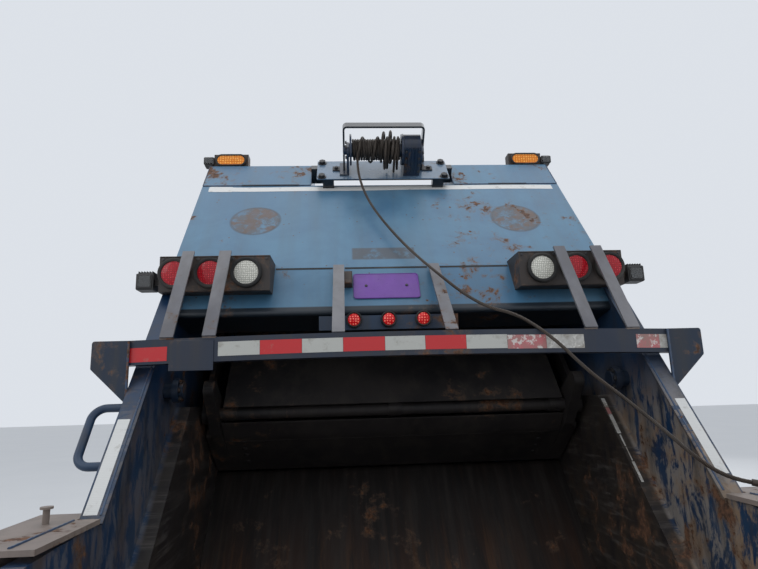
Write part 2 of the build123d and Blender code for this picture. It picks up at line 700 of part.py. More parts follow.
def packer_slide():
    """Box-section slide that runs in the side tracks and carries the sweep's pivot."""
    half = SLIDE_T / 2
    plate = packer_local([(-half, 70, 20), (half, 70, 20), (half, SLIDE_LEN), (-half, SLIDE_LEN)],
                         -SLIDE_HALF, SLIDE_HALF)
    bars = []
    for x in (-GUIDE_IN_X - GUIDE_T, GUIDE_IN_X):
        bar = packer_local([(-40, -40, 35), (40, -40, 35), (40, SLIDE_LEN), (-40, SLIDE_LEN)],
                           x, x + GUIDE_T)
        bars.append(bar)
    for bar in bars:
        plate += bar
    for along in PAD_ALONG:
        y, z = PIVOT_Y + along * UP_Y, PIVOT_Z + along * UP_Z
        pad = rod((GUIDE_IN_X + GUIDE_T - 1, y, z), (LINING_IN - PAD_GAP, y, z), 32)
        plate += both_sides(pad)
    plate += packer_local([(-30, SLIDE_LEN - 80), (30, SLIDE_LEN - 80), (30, SLIDE_LEN - 10),
                           (-30, SLIDE_LEN - 10)], -GUIDE_IN_X - 5, GUIDE_IN_X + 5)
    plate += rod((-GUIDE_IN_X - 5, PIVOT_Y, PIVOT_Z), (GUIDE_IN_X + 5, PIVOT_Y, PIVOT_Z), PIVOT_R)
    for x in (-SLIDE_HALF, -30, SLIDE_HALF - 60):
        knuckle = packer_local([(-half, 120), (-28, -28, 25), (28, -28, 25), (half, 120)], x, x + 60)
        plate += knuckle
    return plate


def packer_blade():
    """Sweep blade with its two crank arms; closed, it stands square to the slide's way."""
    blade = packer_local([(95, -50, 20), (BLADE_R, -18, 6), (BLADE_R, 14, 6), (300, 45), (95, 45, 20)],
                         -BLADE_HALF, BLADE_HALF)
    for x in (ARM_IN_X, -ARM_IN_X - ARM_T):
        arm = packer_local([(-200, -34, 30), (60, -70, 30), (330, -30), (330, 40), (60, 75, 30),
                            (-200, 34, 30)], x, x + ARM_T)
        blade += arm
    for x in (ARM_IN_X - 30, -ARM_IN_X - ARM_T - 10):
        blade -= rod((x, PIVOT_Y, PIVOT_Z), (x + ARM_T + 40, PIVOT_Y, PIVOT_Z), PIVOT_R + 0.1)
    return blade


def lift_line():
    """Start, end and direction of a lift cylinder's axis with the tailgate shut."""
    foot = Vector(LIFT_X, LIFT_FOOT_Y, LIFT_FOOT_Z)
    eye = Vector(LIFT_X, LIFT_EYE_Y, LIFT_EYE_Z)
    return foot, eye, (eye - foot).normalized()


def lift_barrels():
    """Barrels of both lift cylinders, turning on their lower pins."""
    foot, eye, way = lift_line()
    length = (eye - foot).length
    tube = rod(foot + way * 42, foot + way * (length - 180), BARREL_R)
    tube -= rod(foot + way * 80, foot + way * (length - 179), ROD_R + 1)
    tube += rod(foot - Vector(30, 0, 0), foot + Vector(30, 0, 0), 48)
    tube -= rod(foot - Vector(50, 0, 0), foot + Vector(50, 0, 0), 25.1)
    return both_sides(tube)


def lift_rods():
    """Chromed rods with their eyes and the pins that reach to the tailgate sides."""
    foot, eye, way = lift_line()
    bar = rod(foot + way * 150, eye, ROD_R)
    bar += rod(eye - Vector(24, 0, 0), eye + Vector(28, 0, 0), 42)
    bar += rod(eye - Vector(LIFT_X - TAIL_HALF - 21, 0, 0), eye, 24)
    return both_sides(bar)


def tail_fittings():
    """Hinge lugs and lift cylinder bosses on the tailgate."""
    front = SEAL_Y - SEAL_GAP
    lug = side_prism([(front - 140, TAIL_ROOF_Z + WELD), (front, TAIL_ROOF_Z + WELD), (front, HINGE_Z - 36),
                      (HINGE_Y + 36, HINGE_Z - 36, 34), (HINGE_Y + 36, HINGE_Z + 36, 34),
                      (HINGE_Y - 50, HINGE_Z + 36, 40)],
                     HINGE_X - LUG_T / 2, HINGE_X + LUG_T / 2)
    lug -= rod((HINGE_X - LUG_T, HINGE_Y, HINGE_Z), (HINGE_X + LUG_T, HINGE_Y, HINGE_Z), HINGE_R + 0.1)
    boss = rod((TAIL_HALF + WELD, LIFT_EYE_Y, LIFT_EYE_Z), (TAIL_HALF + 20, LIFT_EYE_Y, LIFT_EYE_Z), 70)
    return group(both_sides(lug), both_sides(boss), marker_bar())


POST_W = 70.0
POST_COUNT = 6


def body_sides():
    """Side walls with pressed posts, rails and the lift cylinders' foot brackets."""
    inner = BODY_HALF - POST_D - WALL_T
    back = SEAL_Y + SEAL_GAP
    wall = block(inner, BODY_HALF - POST_D, back, BODY_FRONT_Y, BODY_FLOOR_Z, BODY_ROOF_Z - ROOF_T - WELD)
    pitch = (BODY_FRONT_Y - back - POST_W) / (POST_COUNT - 1)
    low, high = BODY_FLOOR_Z + 60, BODY_ROOF_Z - 130
    for i in range(POST_COUNT):
        y = back + POST_W / 2 + i * pitch
        post = plan_prism([(BODY_HALF - POST_D - 1, y - POST_W / 2), (BODY_HALF, y - POST_W / 2 + 15),
                           (BODY_HALF, y + POST_W / 2 - 15), (BODY_HALF - POST_D - 1, y + POST_W / 2)],
                          low, high)
        wall += post
    rail = BODY_HALF - POST_D - 1
    wall += side_prism([(back, BODY_FLOOR_Z), (BODY_FRONT_Y, BODY_FLOOR_Z), (BODY_FRONT_Y, low + 5),
                        (back, low + 5)], rail, BODY_HALF)
    wall += front_prism([(rail, high - 5), (BODY_HALF, high - 5), (BODY_HALF, BODY_ROOF_Z - 90, 10),
                         (rail, BODY_ROOF_Z - ROOF_T - WELD)], back, BODY_FRONT_Y)
    foot = side_prism([(LIFT_FOOT_Y - 90, LIFT_FOOT_Z - 130), (LIFT_FOOT_Y + 90, LIFT_FOOT_Z - 130),
                       (LIFT_FOOT_Y + 60, LIFT_FOOT_Z + 60, 40), (LIFT_FOOT_Y - 60, LIFT_FOOT_Z + 60, 40)],
                      BODY_HALF - POST_D - 1, BODY_HALF + 10)
    foot += rod((BODY_HALF, LIFT_FOOT_Y, LIFT_FOOT_Z), (LIFT_X + 45, LIFT_FOOT_Y, LIFT_FOOT_Z), 25)
    foot += rod((LIFT_X + 36, LIFT_FOOT_Y, LIFT_FOOT_Z), (LIFT_X + 48, LIFT_FOOT_Y, LIFT_FOOT_Z), 40)
    return both_sides(wall + foot)


def body_roof():
    """Crowned roof sheet with cross ribs and the tailgate's hinge brackets."""
    back = SEAL_Y + SEAL_GAP
    edge = BODY_HALF - POST_D
    crown = 7 * BODY_HALF
    path = [(-edge, BODY_ROOF_Z - 55), (-edge + 90, BODY_ROOF_Z, 60), (edge - 90, BODY_ROOF_Z, 60),
            (edge, BODY_ROOF_Z - 55)]
    low = BODY_ROOF_Z - ROOF_T
    sheet = front_prism([(-edge, low), (edge, low), (edge, BODY_ROOF_Z - 8, 6), (0, BODY_ROOF_Z + 12, crown),
                         (-edge, BODY_ROOF_Z - 8, 6)], back, BODY_FRONT_Y)
    pitch = (BODY_FRONT_Y - back - POST_W) / (POST_COUNT - 1)
    for i in range(POST_COUNT):
        y = back + POST_W / 2 + i * pitch
        sheet += block(-edge + 60, edge - 60, y - 25, y + 25, BODY_ROOF_Z - 10, BODY_ROOF_Z + 16)
    for x in (-HINGE_X, HINGE_X):
        pin = rod((x - LUG_T, HINGE_Y, HINGE_Z), (x + LUG_T, HINGE_Y, HINGE_Z), HINGE_R)
        for side in (-1, 1):
            x0, x1 = sorted((x + side * (LUG_T / 2 + RUN), x + side * (LUG_T / 2 + RUN + 22)))
            pin += side_prism([(HINGE_Y - 22, BODY_ROOF_Z), (HINGE_Y + 150, BODY_ROOF_Z - 1),
                               (HINGE_Y + 60, HINGE_Z + 42, 40), (HINGE_Y - 24, HINGE_Z + 42, 25)], x0, x1)
        sheet += pin
    return sheet


def body_bulkhead():
    """Front wall of the body with its upright stiffeners."""
    inner = BODY_HALF - POST_D - WALL_T
    front = BODY_FRONT_Y
    wall = block(-inner + WELD, inner - WELD, front - 40, front - 10, BODY_FLOOR_Z + BODY_FLOOR_T + WELD,
                 BODY_ROOF_Z - ROOF_T - WELD)
    for x in (-720, -240, 240, 720):
        wall += block(x - 40, x + 40, front - 11, front + 35, BODY_FLOOR_Z + BODY_FLOOR_T + 20,
                      BODY_ROOF_Z - ROOF_T - 60)
    return wall


def body_floor():
    """Load floor on its cross members and the two long sills that sit on the chassis rails."""
    inner = BODY_HALF - POST_D - WALL_T
    back = SEAL_Y + SEAL_GAP
    floor = block(-inner + WELD, inner - WELD, back, BODY_FRONT_Y, BODY_FLOOR_Z, BODY_FLOOR_Z + BODY_FLOOR_T)
    for x0 in (-FRAME_HALF, FRAME_HALF - RAIL_W):
        floor += block(x0, x0 + RAIL_W, back + 30, BODY_FRONT_Y, FRAME_TOP_Z + WELD, BODY_FLOOR_Z + 1)
    pitch = (BODY_FRONT_Y - back - 200) / 7
    for i in range(8):
        y = back + 100 + i * pitch
        floor += block(-inner + WELD, inner - WELD, y - 20, y + 20, BODY_FLOOR_Z - 60, BODY_FLOOR_Z + 1)
    return floor


def ejector_panel():
    """Push plate that empties the body, parked at the front, with braces that end in wear shoes."""
    half = BODY_HALF - POST_D - WALL_T - 12
    low, high = BODY_FLOOR_Z + BODY_FLOOR_T + 8, BODY_ROOF_Z - ROOF_T - 40
    y = EJECTOR_Y
    path = [(y + 120, low), (y - 40, low + 420, 400), (y, high)]
    plate = side_prism(strip(path, -EJECTOR_T), -half, half)
    shoe = BODY_FLOOR_Z + BODY_FLOOR_T + PAD_GAP
    for x in (-640, 0, 640):
        brace = [(y + 110, shoe), (y + 330, shoe), (y + 60, high - 250)]
        plate += side_prism(brace, x - 25, x + 25)
    return plate


CAB_MOUNT_YS = (CAB_BACK_Y + 130.0, CAB_FRONT_Y - 160.0)
HOOD_HINGE_Y = HOOD_FRONT_Y
HOOD_PIN_R = 12.0
HOOD_ARM_X = FRAME_HALF + 8.0
HOOD_ARM_T = 12.0


def frame_rails():
    """Ladder frame: two channel rails with cross members and spring hangers."""
    front, back = FRONT_Y - 175, SEAL_Y + 45
    low = FRAME_TOP_Z - RAIL_H
    section = [(FRAME_HALF - RAIL_W, low), (FRAME_HALF, low), (FRAME_HALF, FRAME_TOP_Z),
               (FRAME_HALF - RAIL_W, FRAME_TOP_Z), (FRAME_HALF - RAIL_W, FRAME_TOP_Z - RAIL_T),
               (FRAME_HALF - RAIL_T, FRAME_TOP_Z - RAIL_T), (FRAME_HALF - RAIL_T, low + RAIL_T),
               (FRAME_HALF - RAIL_W, low + RAIL_T)]
    rail = front_prism(section, back, front)
    frame = rail + mirror(rail, about=Plane.YZ)
    for y in (front - 60, CAB_BACK_Y + 70, REAR_AXLE_Y + 1475, REAR_AXLE_Y + 560, REAR_AXLE_Y - 545):
        inside = FRAME_HALF - RAIL_T
        frame += block(-inside - 1, inside + 1, y - 45, y + 45, low + 60, low + 72)
        frame += block(-inside - 1, inside + 1, y - 5, y + 5, low + 60, FRAME_TOP_Z - 60)
    for y in CAB_MOUNT_YS:
        frame += both_sides(block(FRAME_HALF - RAIL_W, FRAME_HALF, y - 50, y + 50, FRAME_TOP_Z - 1,
                                  CAB_FLOOR_Z - WELD))
    ear = side_prism([(front - 40, HOOD_HINGE_Z - 27), (FRONT_Y - 100, HOOD_HINGE_Z - 27, 25),
                      (FRONT_Y - 100, HOOD_HINGE_Z + 30, 25), (front - 40, HOOD_HINGE_Z + 60)],
                     FRAME_HALF - RAIL_T, FRAME_HALF)
    ear += rod((FRAME_HALF - 1, HOOD_HINGE_Y, HOOD_HINGE_Z), (HOOD_ARM_X + HOOD_ARM_T + 8, HOOD_HINGE_Y,
                                                             HOOD_HINGE_Z), HOOD_PIN_R)
    frame += both_sides(ear)
    for y in SPRING_HANGER_YS:
        for side in (-1, 1):
            x0, x1 = sorted((side * (FRAME_HALF - 1), side * (FRAME_HALF + 74)))
            frame += block(x0, x1, y - HANGER_HALF, y + HANGER_HALF, low, low + 140)
    return frame


SPRING_W = 66.0
SPRING_X = FRAME_HALF + 37.0
HANGER_HALF = 35.0
FRONT_HANGER = 640.0  # axle to the middle of each spring hanger
REAR_HANGER = 600.0
SPRING_HANGER_YS = (
    FRONT_AXLE_Y + FRONT_HANGER,
    FRONT_AXLE_Y - FRONT_HANGER,
    REAR_AXLE_Y + REAR_HANGER,
    REAR_AXLE_Y - REAR_HANGER,
)


def leaf_spring(axle_y, reach, seat_z, pack):
    """Leaf pack on the right: a bowed main leaf up to its hangers, with a thicker middle."""
    half = reach - HANGER_HALF - WELD
    eye_z = FRAME_TOP_Z - RAIL_H + 4
    main = [(axle_y - half, eye_z - 26), (axle_y - 180, seat_z, 300), (axle_y + 180, seat_z, 300),
            (axle_y + half, eye_z - 26), (axle_y + half, eye_z), (axle_y + 150, seat_z + pack, 300),
            (axle_y - 150, seat_z + pack, 300), (axle_y - half, eye_z)]
    return side_prism(main, SPRING_X - SPRING_W / 2, SPRING_X + SPRING_W / 2)


def front_axle():
    """Dropped I-beam front axle with its leaf springs and king pins."""
    path = [(KINGPIN_X - 20, 540), (KINGPIN_X - 130, 540, 60), (KINGPIN_X - 260, 480, 80),
            (-KINGPIN_X + 260, 480, 80), (-KINGPIN_X + 130, 540, 60), (-KINGPIN_X + 20, 540)]
    beam = front_prism(strip(path, 80), FRONT_AXLE_Y - 45, FRONT_AXLE_Y + 45)
    for x in (-KINGPIN_X, KINGPIN_X):
        side = 1 if x > 0 else -1
        beam += rod((x, FRONT_AXLE_Y, 440), (x, FRONT_AXLE_Y, 560), 45)
        beam += rod((x, FRONT_AXLE_Y, 395), (x, FRONT_AXLE_Y, 605), 20)
        x = side * SPRING_X
        beam += block(x - 40, x + 40, FRONT_AXLE_Y - 80, FRONT_AXLE_Y + 80, 420, 545)
    spring = leaf_spring(FRONT_AXLE_Y, FRONT_HANGER, 545, 50)
    return beam + spring + mirror(spring, about=Plane.YZ)


def rear_axle():
    """Rear axle with its drive head, leaf springs, and the propeller shaft running forward."""
    y, z = REAR_AXLE_Y, TYRE_R
    axle = rod((-TWIN_IN_X + 190, y, z), (TWIN_IN_X - 190, y, z), 75)
    axle += rod((-TWIN_OUT_X + 40, y, z), (TWIN_OUT_X - 40, y, z), 52)
    head = [(0, 0), (0, 215, 10), (90, 200, 60), (150, 110, 50), (260, 75, 10), (260, 0)]
    axle += Plane((0, y - 60, z), (0, 1, 0), (0, 0, 1)) * revolve(outline(head), Axis.X)
    spring = leaf_spring(y, REAR_HANGER, z + 74, 110)
    axle = axle + spring + mirror(spring, about=Plane.YZ)
    shaft = rod((0, y + 180, z), (0, CAB_BACK_Y + 170, 700), 45)
    return axle + shaft


def power_unit():
    """Engine and gearbox as one plain block, with the radiator in front."""
    engine = block(-330, 330, CAB_FRONT_Y + 45, FRONT_AXLE_Y + 420, 700, 1420)
    engine += rod((0, CAB_FRONT_Y + 50, 780), (0, CAB_BACK_Y + 210, 740), 190)
    y = FRONT_AXLE_Y + 600
    radiator = block(-340, 340, y - 40, y + 40, 760, 1360)
    web = FRAME_HALF - RAIL_T - WELD
    for mount_y in (CAB_FRONT_Y + 160, FRONT_AXLE_Y + 300):
        engine += block(-web, web, mount_y - 40, mount_y + 40, 800, 850)
    radiator += block(-web, web, y - 15, y + 15, 800, 840)
    return group(engine, radiator)


def tyre(x, width=TYRE_W):
    """Tyre about the wheel's axis, rounded at the shoulders, open at the rim."""
    h = width / 2
    section = [(-h + 30, RIM_R + WELD), (h - 30, RIM_R + WELD), (h, RIM_R + 105, 90), (h - 12, TYRE_R, 30),
               (-h + 12, TYRE_R, 30), (-h, RIM_R + 105, 90)]
    ring = revolve(outline(section), Axis.X)
    bore = extrude(Plane.YZ.offset(-h - 5) * Circle(RIM_R + WELD), amount=2 * h + 10)
    return Pos(x, 0, 0) * (ring - bore)


def rim(x, face, hub_out, hub_in):
    """Disc wheel about its axis: flanged barrel, dished disc with hand holes, and hub."""
    h = TYRE_W / 2 - 22
    barrel = [(-h, RIM_R - 18), (-h, RIM_R), (h, RIM_R), (h, RIM_R - 18), (h - 14, RIM_R - 12),
              (-h + 14, RIM_R - 12)]
    wheel = revolve(outline(barrel), Axis.X)
    side = 1 if face > 0 else -1
    dish = [(face, 80), (face, 175, 25), (face - side * 70, RIM_R - 8), (face - side * 82, RIM_R - 8),
            (face - side * 12, 178, 25), (face - side * 12, 80)]
    wheel += revolve(outline(dish), Axis.X)
    for i in range(8):
        angle = 2 * pi * i / 8
        y, z = 205 * cos(angle), 205 * sin(angle)
        hole = rod((face - 90, y, z), (face + 90, y, z), 27)
        wheel -= hole
    x0, x1 = sorted((hub_in, hub_out))
    wheel += rod((x0, 0, 0), (x1, 0, 0), HUB_R)
    return Pos(x, 0, 0) * wheel


def front_wheel():
    """Front tyre and rim on the right, at the axle."""
    place = Pos(0, FRONT_AXLE_Y, TYRE_R)
    disc = rim(FRONT_TRACK_X, 95, 150, 20)
    disc -= rod((FRONT_TRACK_X - 60, 0, 0), (FRONT_TRACK_X + 100, 0, 0), 35.1)
    return place * tyre(FRONT_TRACK_X), place * disc


def rear_wheel():
    """Twin rear tyres and rims on the right, bolted face to face on one hub."""
    place = Pos(0, REAR_AXLE_Y, TYRE_R)
    twins = group(tyre(TWIN_IN_X), tyre(TWIN_OUT_X))
    outer = rim(TWIN_OUT_X, -95, 60, -150)
    inner = rim(TWIN_IN_X, 95, 150, 60)
    middle = (TWIN_OUT_X + TWIN_IN_X) / 2
    outer += rod((middle - 75, 0, 0), (middle + 75, 0, 0), 160)
    rims = outer + inner
    rims -= rod((TWIN_IN_X - 100, 0, 0), (TWIN_OUT_X - 30, 0, 0), 52.1)
    return place * twins, place * rims


def knuckle():
    """Right steering knuckle: fork round the axle end, spindle and steering arm."""
    y, z = FRONT_AXLE_Y, TYRE_R
    body = block(KINGPIN_X - 42, KINGPIN_X + 75, y - 45, y + 45, 566, 604)
    body += block(KINGPIN_X - 42, KINGPIN_X + 75, y - 45, y + 45, 396, 434)
    body += block(KINGPIN_X + 52, KINGPIN_X + 84, y - 60, y + 60, 396, 604)
    body += block(KINGPIN_X - 70, KINGPIN_X - 10, y - 240, y + 40, 400, 430)
    body -= rod((KINGPIN_X, y, 380), (KINGPIN_X, y, 620), 20.1)
    body += rod((KINGPIN_X + 80, y, z), (FRONT_TRACK_X + 90, y, z), 35)
    return body


TOW_X = 560.0
TOW_R = 16.0
FRONT_PLATE_Z = 640.0


def bumper():
    """Rolled channel bumper with swept ends, tow pin bores and two holes for a plate."""
    path = [
        (-FENDER_HALF, FRONT_Y - 190),
        (-FENDER_HALF + 60, FRONT_Y, 150),
        (FENDER_HALF - 60, FRONT_Y, 150),
        (FENDER_HALF, FRONT_Y - 190),
    ]
    sheet = plan_prism(strip(path, -9), BUMPER_LOW_Z, BUMPER_TOP_Z)
    for z in (BUMPER_LOW_Z, BUMPER_TOP_Z - 9):
        edge = plan_prism(strip(path, -70), z, z + 9)
        sheet += edge
    for x in (-FRAME_HALF + RAIL_W / 2, FRAME_HALF - RAIL_W / 2):
        sheet += block(x - 35, x + 35, FRONT_Y - 175 + WELD, FRONT_Y - 8, 600, 770)
    for x in (-TOW_X, TOW_X):
        sheet -= rod((x, FRONT_Y - 40, BUMPER_LOW_Z - 5), (x, FRONT_Y - 40, BUMPER_TOP_Z + 5), TOW_R)
    for x in (-PLATE_PITCH / 2, PLATE_PITCH / 2):
        sheet -= rod((x, FRONT_Y - 20, FRONT_PLATE_Z), (x, FRONT_Y + 10, FRONT_PLATE_Z), PLATE_HOLE_R)
    return sheet


CAB_SIDE = [
    (CAB_BACK_Y, CAB_FLOOR_Z, 20),
    (CAB_FRONT_Y, CAB_FLOOR_Z, 20),
    (CAB_FRONT_Y, COWL_Z, 60),
    (SCREEN_TOP_Y, CAB_TOP_Z - 20, 140),
    (CAB_BACK_Y, CAB_TOP_Z, 120),
]
CAB_FACE = [
    (-CAB_HALF, CAB_FLOOR_Z, 20),
    (CAB_HALF, CAB_FLOOR_Z, 20),
    (CAB_HALF, BELT_Z, 500),
    (CAB_HALF - 100, CAB_TOP_Z, 130),
    (-CAB_HALF + 100, CAB_TOP_Z, 130),
    (-CAB_HALF, BELT_Z, 500),
]


def cab_form(inset):
    """The cab's rounded outer form, drawn in by inset all over."""
    long = side_prism(shifted(CAB_SIDE, inset, closed=True), -CAB_HALF, CAB_HALF)
    wide = front_prism(shifted(CAB_FACE, inset, closed=True), CAB_BACK_Y - 10, CAB_FRONT_Y + 10)
    return long & wide


def door_prism(inset):
    """Door outline from the side, drawn in by inset, carried out through the right cab wall."""
    rake = (DOOR_FRONT_Y - SCREEN_TOP_Y + 60) / (DOOR_TOP_Z - BELT_Z)
    edge = [
        (DOOR_BACK_Y, DOOR_LOW_Z, 60),
        (DOOR_FRONT_Y, DOOR_LOW_Z, 60),
        (DOOR_FRONT_Y, BELT_Z, 60),
        (DOOR_FRONT_Y - rake * (DOOR_TOP_Z - BELT_Z), DOOR_TOP_Z, 60),
        (DOOR_BACK_Y, DOOR_TOP_Z, 60),
    ]
    return side_prism(shifted(edge, inset, closed=True), CAB_HALF - 300, CAB_HALF + 50)


def window_prism():
    """Opening of the right door's window."""
    rake = (DOOR_FRONT_Y - SCREEN_TOP_Y + 60) / (DOOR_TOP_Z - BELT_Z)
    edge = [
        (DOOR_BACK_Y + 70, BELT_Z, 40),
        (DOOR_FRONT_Y - 70, BELT_Z, 40),
        (DOOR_FRONT_Y - 70 - rake * (DOOR_TOP_Z - 70 - BELT_Z), DOOR_TOP_Z - 70, 50),
        (DOOR_BACK_Y + 70, DOOR_TOP_Z - 70, 50),
    ]
    return side_prism(edge, CAB_HALF - 300, CAB_HALF + 50)


def screen_prism():
    """Opening of the windscreen, seen from the front."""
    edge = [(-CAB_HALF + 110, COWL_Z + 60, 60), (CAB_HALF - 110, COWL_Z + 60, 60),
            (CAB_HALF - 170, CAB_TOP_Z - 120, 80), (-CAB_HALF + 170, CAB_TOP_Z - 120, 80)]
    return front_prism(edge, SCREEN_TOP_Y - 200, CAB_FRONT_Y + 50)


def back_prism():
    """Opening of the cab's rear window."""
    edge = [(-420, 1800, 60), (420, 1800, 60), (420, 2220, 60), (-420, 2220, 60)]
    return front_prism(edge, CAB_BACK_Y - 50, CAB_BACK_Y + 150)


DOOR_HINGE_ZS = (1140.0, 1540.0)
DOOR_PIN_R = 14.0
BARREL_H = 45.0


def door_barrel(low, high, radius):
    """Upright cylinder about the right door's hinge line."""
    return rod((CAB_HALF, DOOR_FRONT_Y, low), (CAB_HALF, DOOR_FRONT_Y, high), radius)


def cab_parts():
    """Cab shell, both doors and all the glass, cut from one hollow form."""
    skin = cab_form(0) - cab_form(CAB_WALL)
    glass = cab_form(GLASS_IN) - cab_form(GLASS_IN + GLASS_T)
    shell = skin - door_prism(0) - mirror(door_prism(0), about=Plane.YZ)
    shell = shell - screen_prism() - back_prism()
    door = (skin & door_prism(DOOR_GAP)) - window_prism()
    door = door & door_barrel(DOOR_LOW_Z - 10, DOOR_TOP_Z + 10, DOOR_FRONT_Y - DOOR_BACK_Y - DOOR_GAP)
    for z in DOOR_HINGE_ZS:
        low = door_barrel(z, z + BARREL_H, DOOR_PIN_R)
        high = door_barrel(z + BARREL_H + WELD, z + 2 * BARREL_H, DOOR_PIN_R)
        room_low = door_barrel(z - 3, z + BARREL_H, DOOR_PIN_R + 3)
        room_high = door_barrel(z + BARREL_H, z + 2 * BARREL_H + 3, DOOR_PIN_R + 3)
        door = door - room_low + high
        shell = shell - both_sides(room_high) + both_sides(low)
    pane = glass & window_prism()
    fixed = group(glass & screen_prism(), glass & back_prism())
    return shell, door, pane, fixed


HOOD_SIDE = [
    (HOOD_BACK_Y, 1060),
    (HOOD_FRONT_Y, HOOD_HINGE_Z + 60),
    (HOOD_FRONT_Y, 1330, 70),
    (HOOD_BACK_Y, COWL_Z - 10),
]
HOOD_PLAN = [(-800, HOOD_BACK_Y), (800, HOOD_BACK_Y), (600, HOOD_FRONT_Y, 90), (-600, HOOD_FRONT_Y, 90)]
FENDER_BACK_Y = DOOR_FRONT_Y + 16.0
FENDER_SIDE = [
    (FENDER_BACK_Y, HOOD_HINGE_Z),
    (HOOD_FRONT_Y - 20, HOOD_HINGE_Z),
    (HOOD_FRONT_Y - 20, 1180, 90),
    (HOOD_FRONT_Y - 425, 1310, 300),
    (HOOD_BACK_Y + 45, 1330, 150),
    (FENDER_BACK_Y, 1240, 60),
]
FENDER_PLAN = [(560, FENDER_BACK_Y), (FENDER_HALF, FENDER_BACK_Y, 30), (FENDER_HALF, HOOD_FRONT_Y - 10, 170),
               (560, HOOD_FRONT_Y + 40)]
GRILLE_HALF = 430.0
GRILLE_LOW_Z = 900.0
GRILLE_TOP_Z = 1270.0
HEADLAMP_X = 850.0
HEADLAMP_Z = 1040.0
HEADLAMP_W = 230.0
HEADLAMP_H = 150.0


def nose_form(inset, drop):
    """Tapered middle of the hood, drawn in by inset and let down by drop at its open bottom."""
    side = shifted(HOOD_SIDE, inset, closed=True)
    plan = shifted(HOOD_PLAN, inset, closed=True)
    side[0] = (side[0][0] - 3 * inset, side[0][1] - drop)
    side[1] = (side[1][0], side[1][1] - drop)
    side[3] = (side[3][0] - 3 * inset, side[3][1])
    for i in (0, 1):
        plan[i] = (plan[i][0], plan[i][1] - 3 * inset)
    return side_prism(side, -900, 900) & plan_prism(plan, 600, 1800)


def fender_form(inset, drop):
    """Right fender, drawn in by inset and let down by drop at its open bottom."""
    side = shifted(FENDER_SIDE, inset, closed=True)
    side[0] = (side[0][0], side[0][1] - drop)
    side[1] = (side[1][0], side[1][1] - drop)
    plan = shifted(FENDER_PLAN, inset, closed=True)
    return side_prism(side, 500, FENDER_HALF) & plan_prism(plan, 600, 1400)


def rounded_box(x, z, width, height, radius, y0, y1):
    """Block with rounded corners seen from the front."""
    w, h = width / 2, height / 2
    edge = [(x - w, z - h, radius), (x + w, z - h, radius), (x + w, z + h, radius), (x - w, z + h, radius)]
    return front_prism(edge, y0, y1)


def hood():
    """Tilting hood with both fenders, open below, with the wheel arches, grille and lamps cut out."""
    outer = nose_form(0, 0)
    inner = nose_form(HOOD_T, 400)
    fender = fender_form(0, 0)
    hollow = fender_form(HOOD_T, 120) - block(400, 560 + HOOD_T, FENDER_BACK_Y, FRONT_Y, 500, 1500)
    cab_room = block(0, CAB_HALF + 12, FENDER_BACK_Y - 50, HOOD_BACK_Y, 500, 1800)
    fender -= cab_room
    outer = outer + fender + mirror(fender, about=Plane.YZ)
    outer = outer - inner - hollow - mirror(hollow, about=Plane.YZ)
    arch = rod((600, FRONT_AXLE_Y, TYRE_R), (FENDER_HALF + 20, FRONT_AXLE_Y, TYRE_R), ARCH_R)
    outer = outer - arch - mirror(arch, about=Plane.YZ)
    outer -= rounded_box(0, (GRILLE_LOW_Z + GRILLE_TOP_Z) / 2,
                         2 * GRILLE_HALF, GRILLE_TOP_Z - GRILLE_LOW_Z, 40,
                         HOOD_FRONT_Y - 60, HOOD_FRONT_Y + 60)
    for x in (-HEADLAMP_X, HEADLAMP_X):
        outer -= rounded_box(x, HEADLAMP_Z, HEADLAMP_W, HEADLAMP_H, 25,
                             HOOD_FRONT_Y - 120, HOOD_FRONT_Y + 60)
    arm = side_prism([(HOOD_FRONT_Y - 1, HOOD_HINGE_Z + 180), (HOOD_FRONT_Y - 45, HOOD_HINGE_Z + 180),
                      (HOOD_HINGE_Y - 27, HOOD_HINGE_Z - 22, 20), (HOOD_HINGE_Y + 25, HOOD_HINGE_Z - 22, 20),
                      (HOOD_HINGE_Y + 25, HOOD_HINGE_Z + 25, 15), (HOOD_FRONT_Y - 1, HOOD_HINGE_Z + 62)],
                     HOOD_ARM_X, HOOD_ARM_X + HOOD_ARM_T)
    arm -= rod((HOOD_ARM_X - 5, HOOD_HINGE_Y, HOOD_HINGE_Z), (HOOD_ARM_X + HOOD_ARM_T + 5, HOOD_HINGE_Y,
                                                             HOOD_HINGE_Z), HOOD_PIN_R + 0.1)
    return outer + both_sides(arm)


def grille():
    """Surround and slats that fill the opening in the hood's front."""
    z = (GRILLE_LOW_Z + GRILLE_TOP_Z) / 2
    height = GRILLE_TOP_Z - GRILLE_LOW_Z
    y0, y1 = HOOD_FRONT_Y - 40, HOOD_FRONT_Y + 12
    frame = rounded_box(0, z, 2 * GRILLE_HALF - 2 * WELD, height - 2 * WELD, 40, y0, y1)
    frame -= rounded_box(0, z, 2 * GRILLE_HALF - 60, height - 60, 25, y0 - 5, y1 + 5)
    count = 7
    pitch = (height - 60) / (count + 1)
    for i in range(count):
        level = GRILLE_LOW_Z + 30 + (i + 1) * pitch
        slat = side_prism([(y0 + 5, level - 6), (y1 - 4, level - 2),
                           (y1 - 4, level + 6), (y0 + 5, level + 2)],
                          -GRILLE_HALF + 25, GRILLE_HALF - 25)
        frame += slat
    return frame


def headlamps():
    """Rounded lamp units let into the fenders' fronts."""
    y = HOOD_FRONT_Y - 45
    lamp = rounded_box(HEADLAMP_X, HEADLAMP_Z, HEADLAMP_W - 2 * WELD, HEADLAMP_H - 2 * WELD, 25,
                       y - 30, y + 50)
    return both_sides(lamp)


SEAT_XS = (-470.0, 470.0)
SEAT_Z = CAB_FLOOR_Z + CAB_WALL + WELD


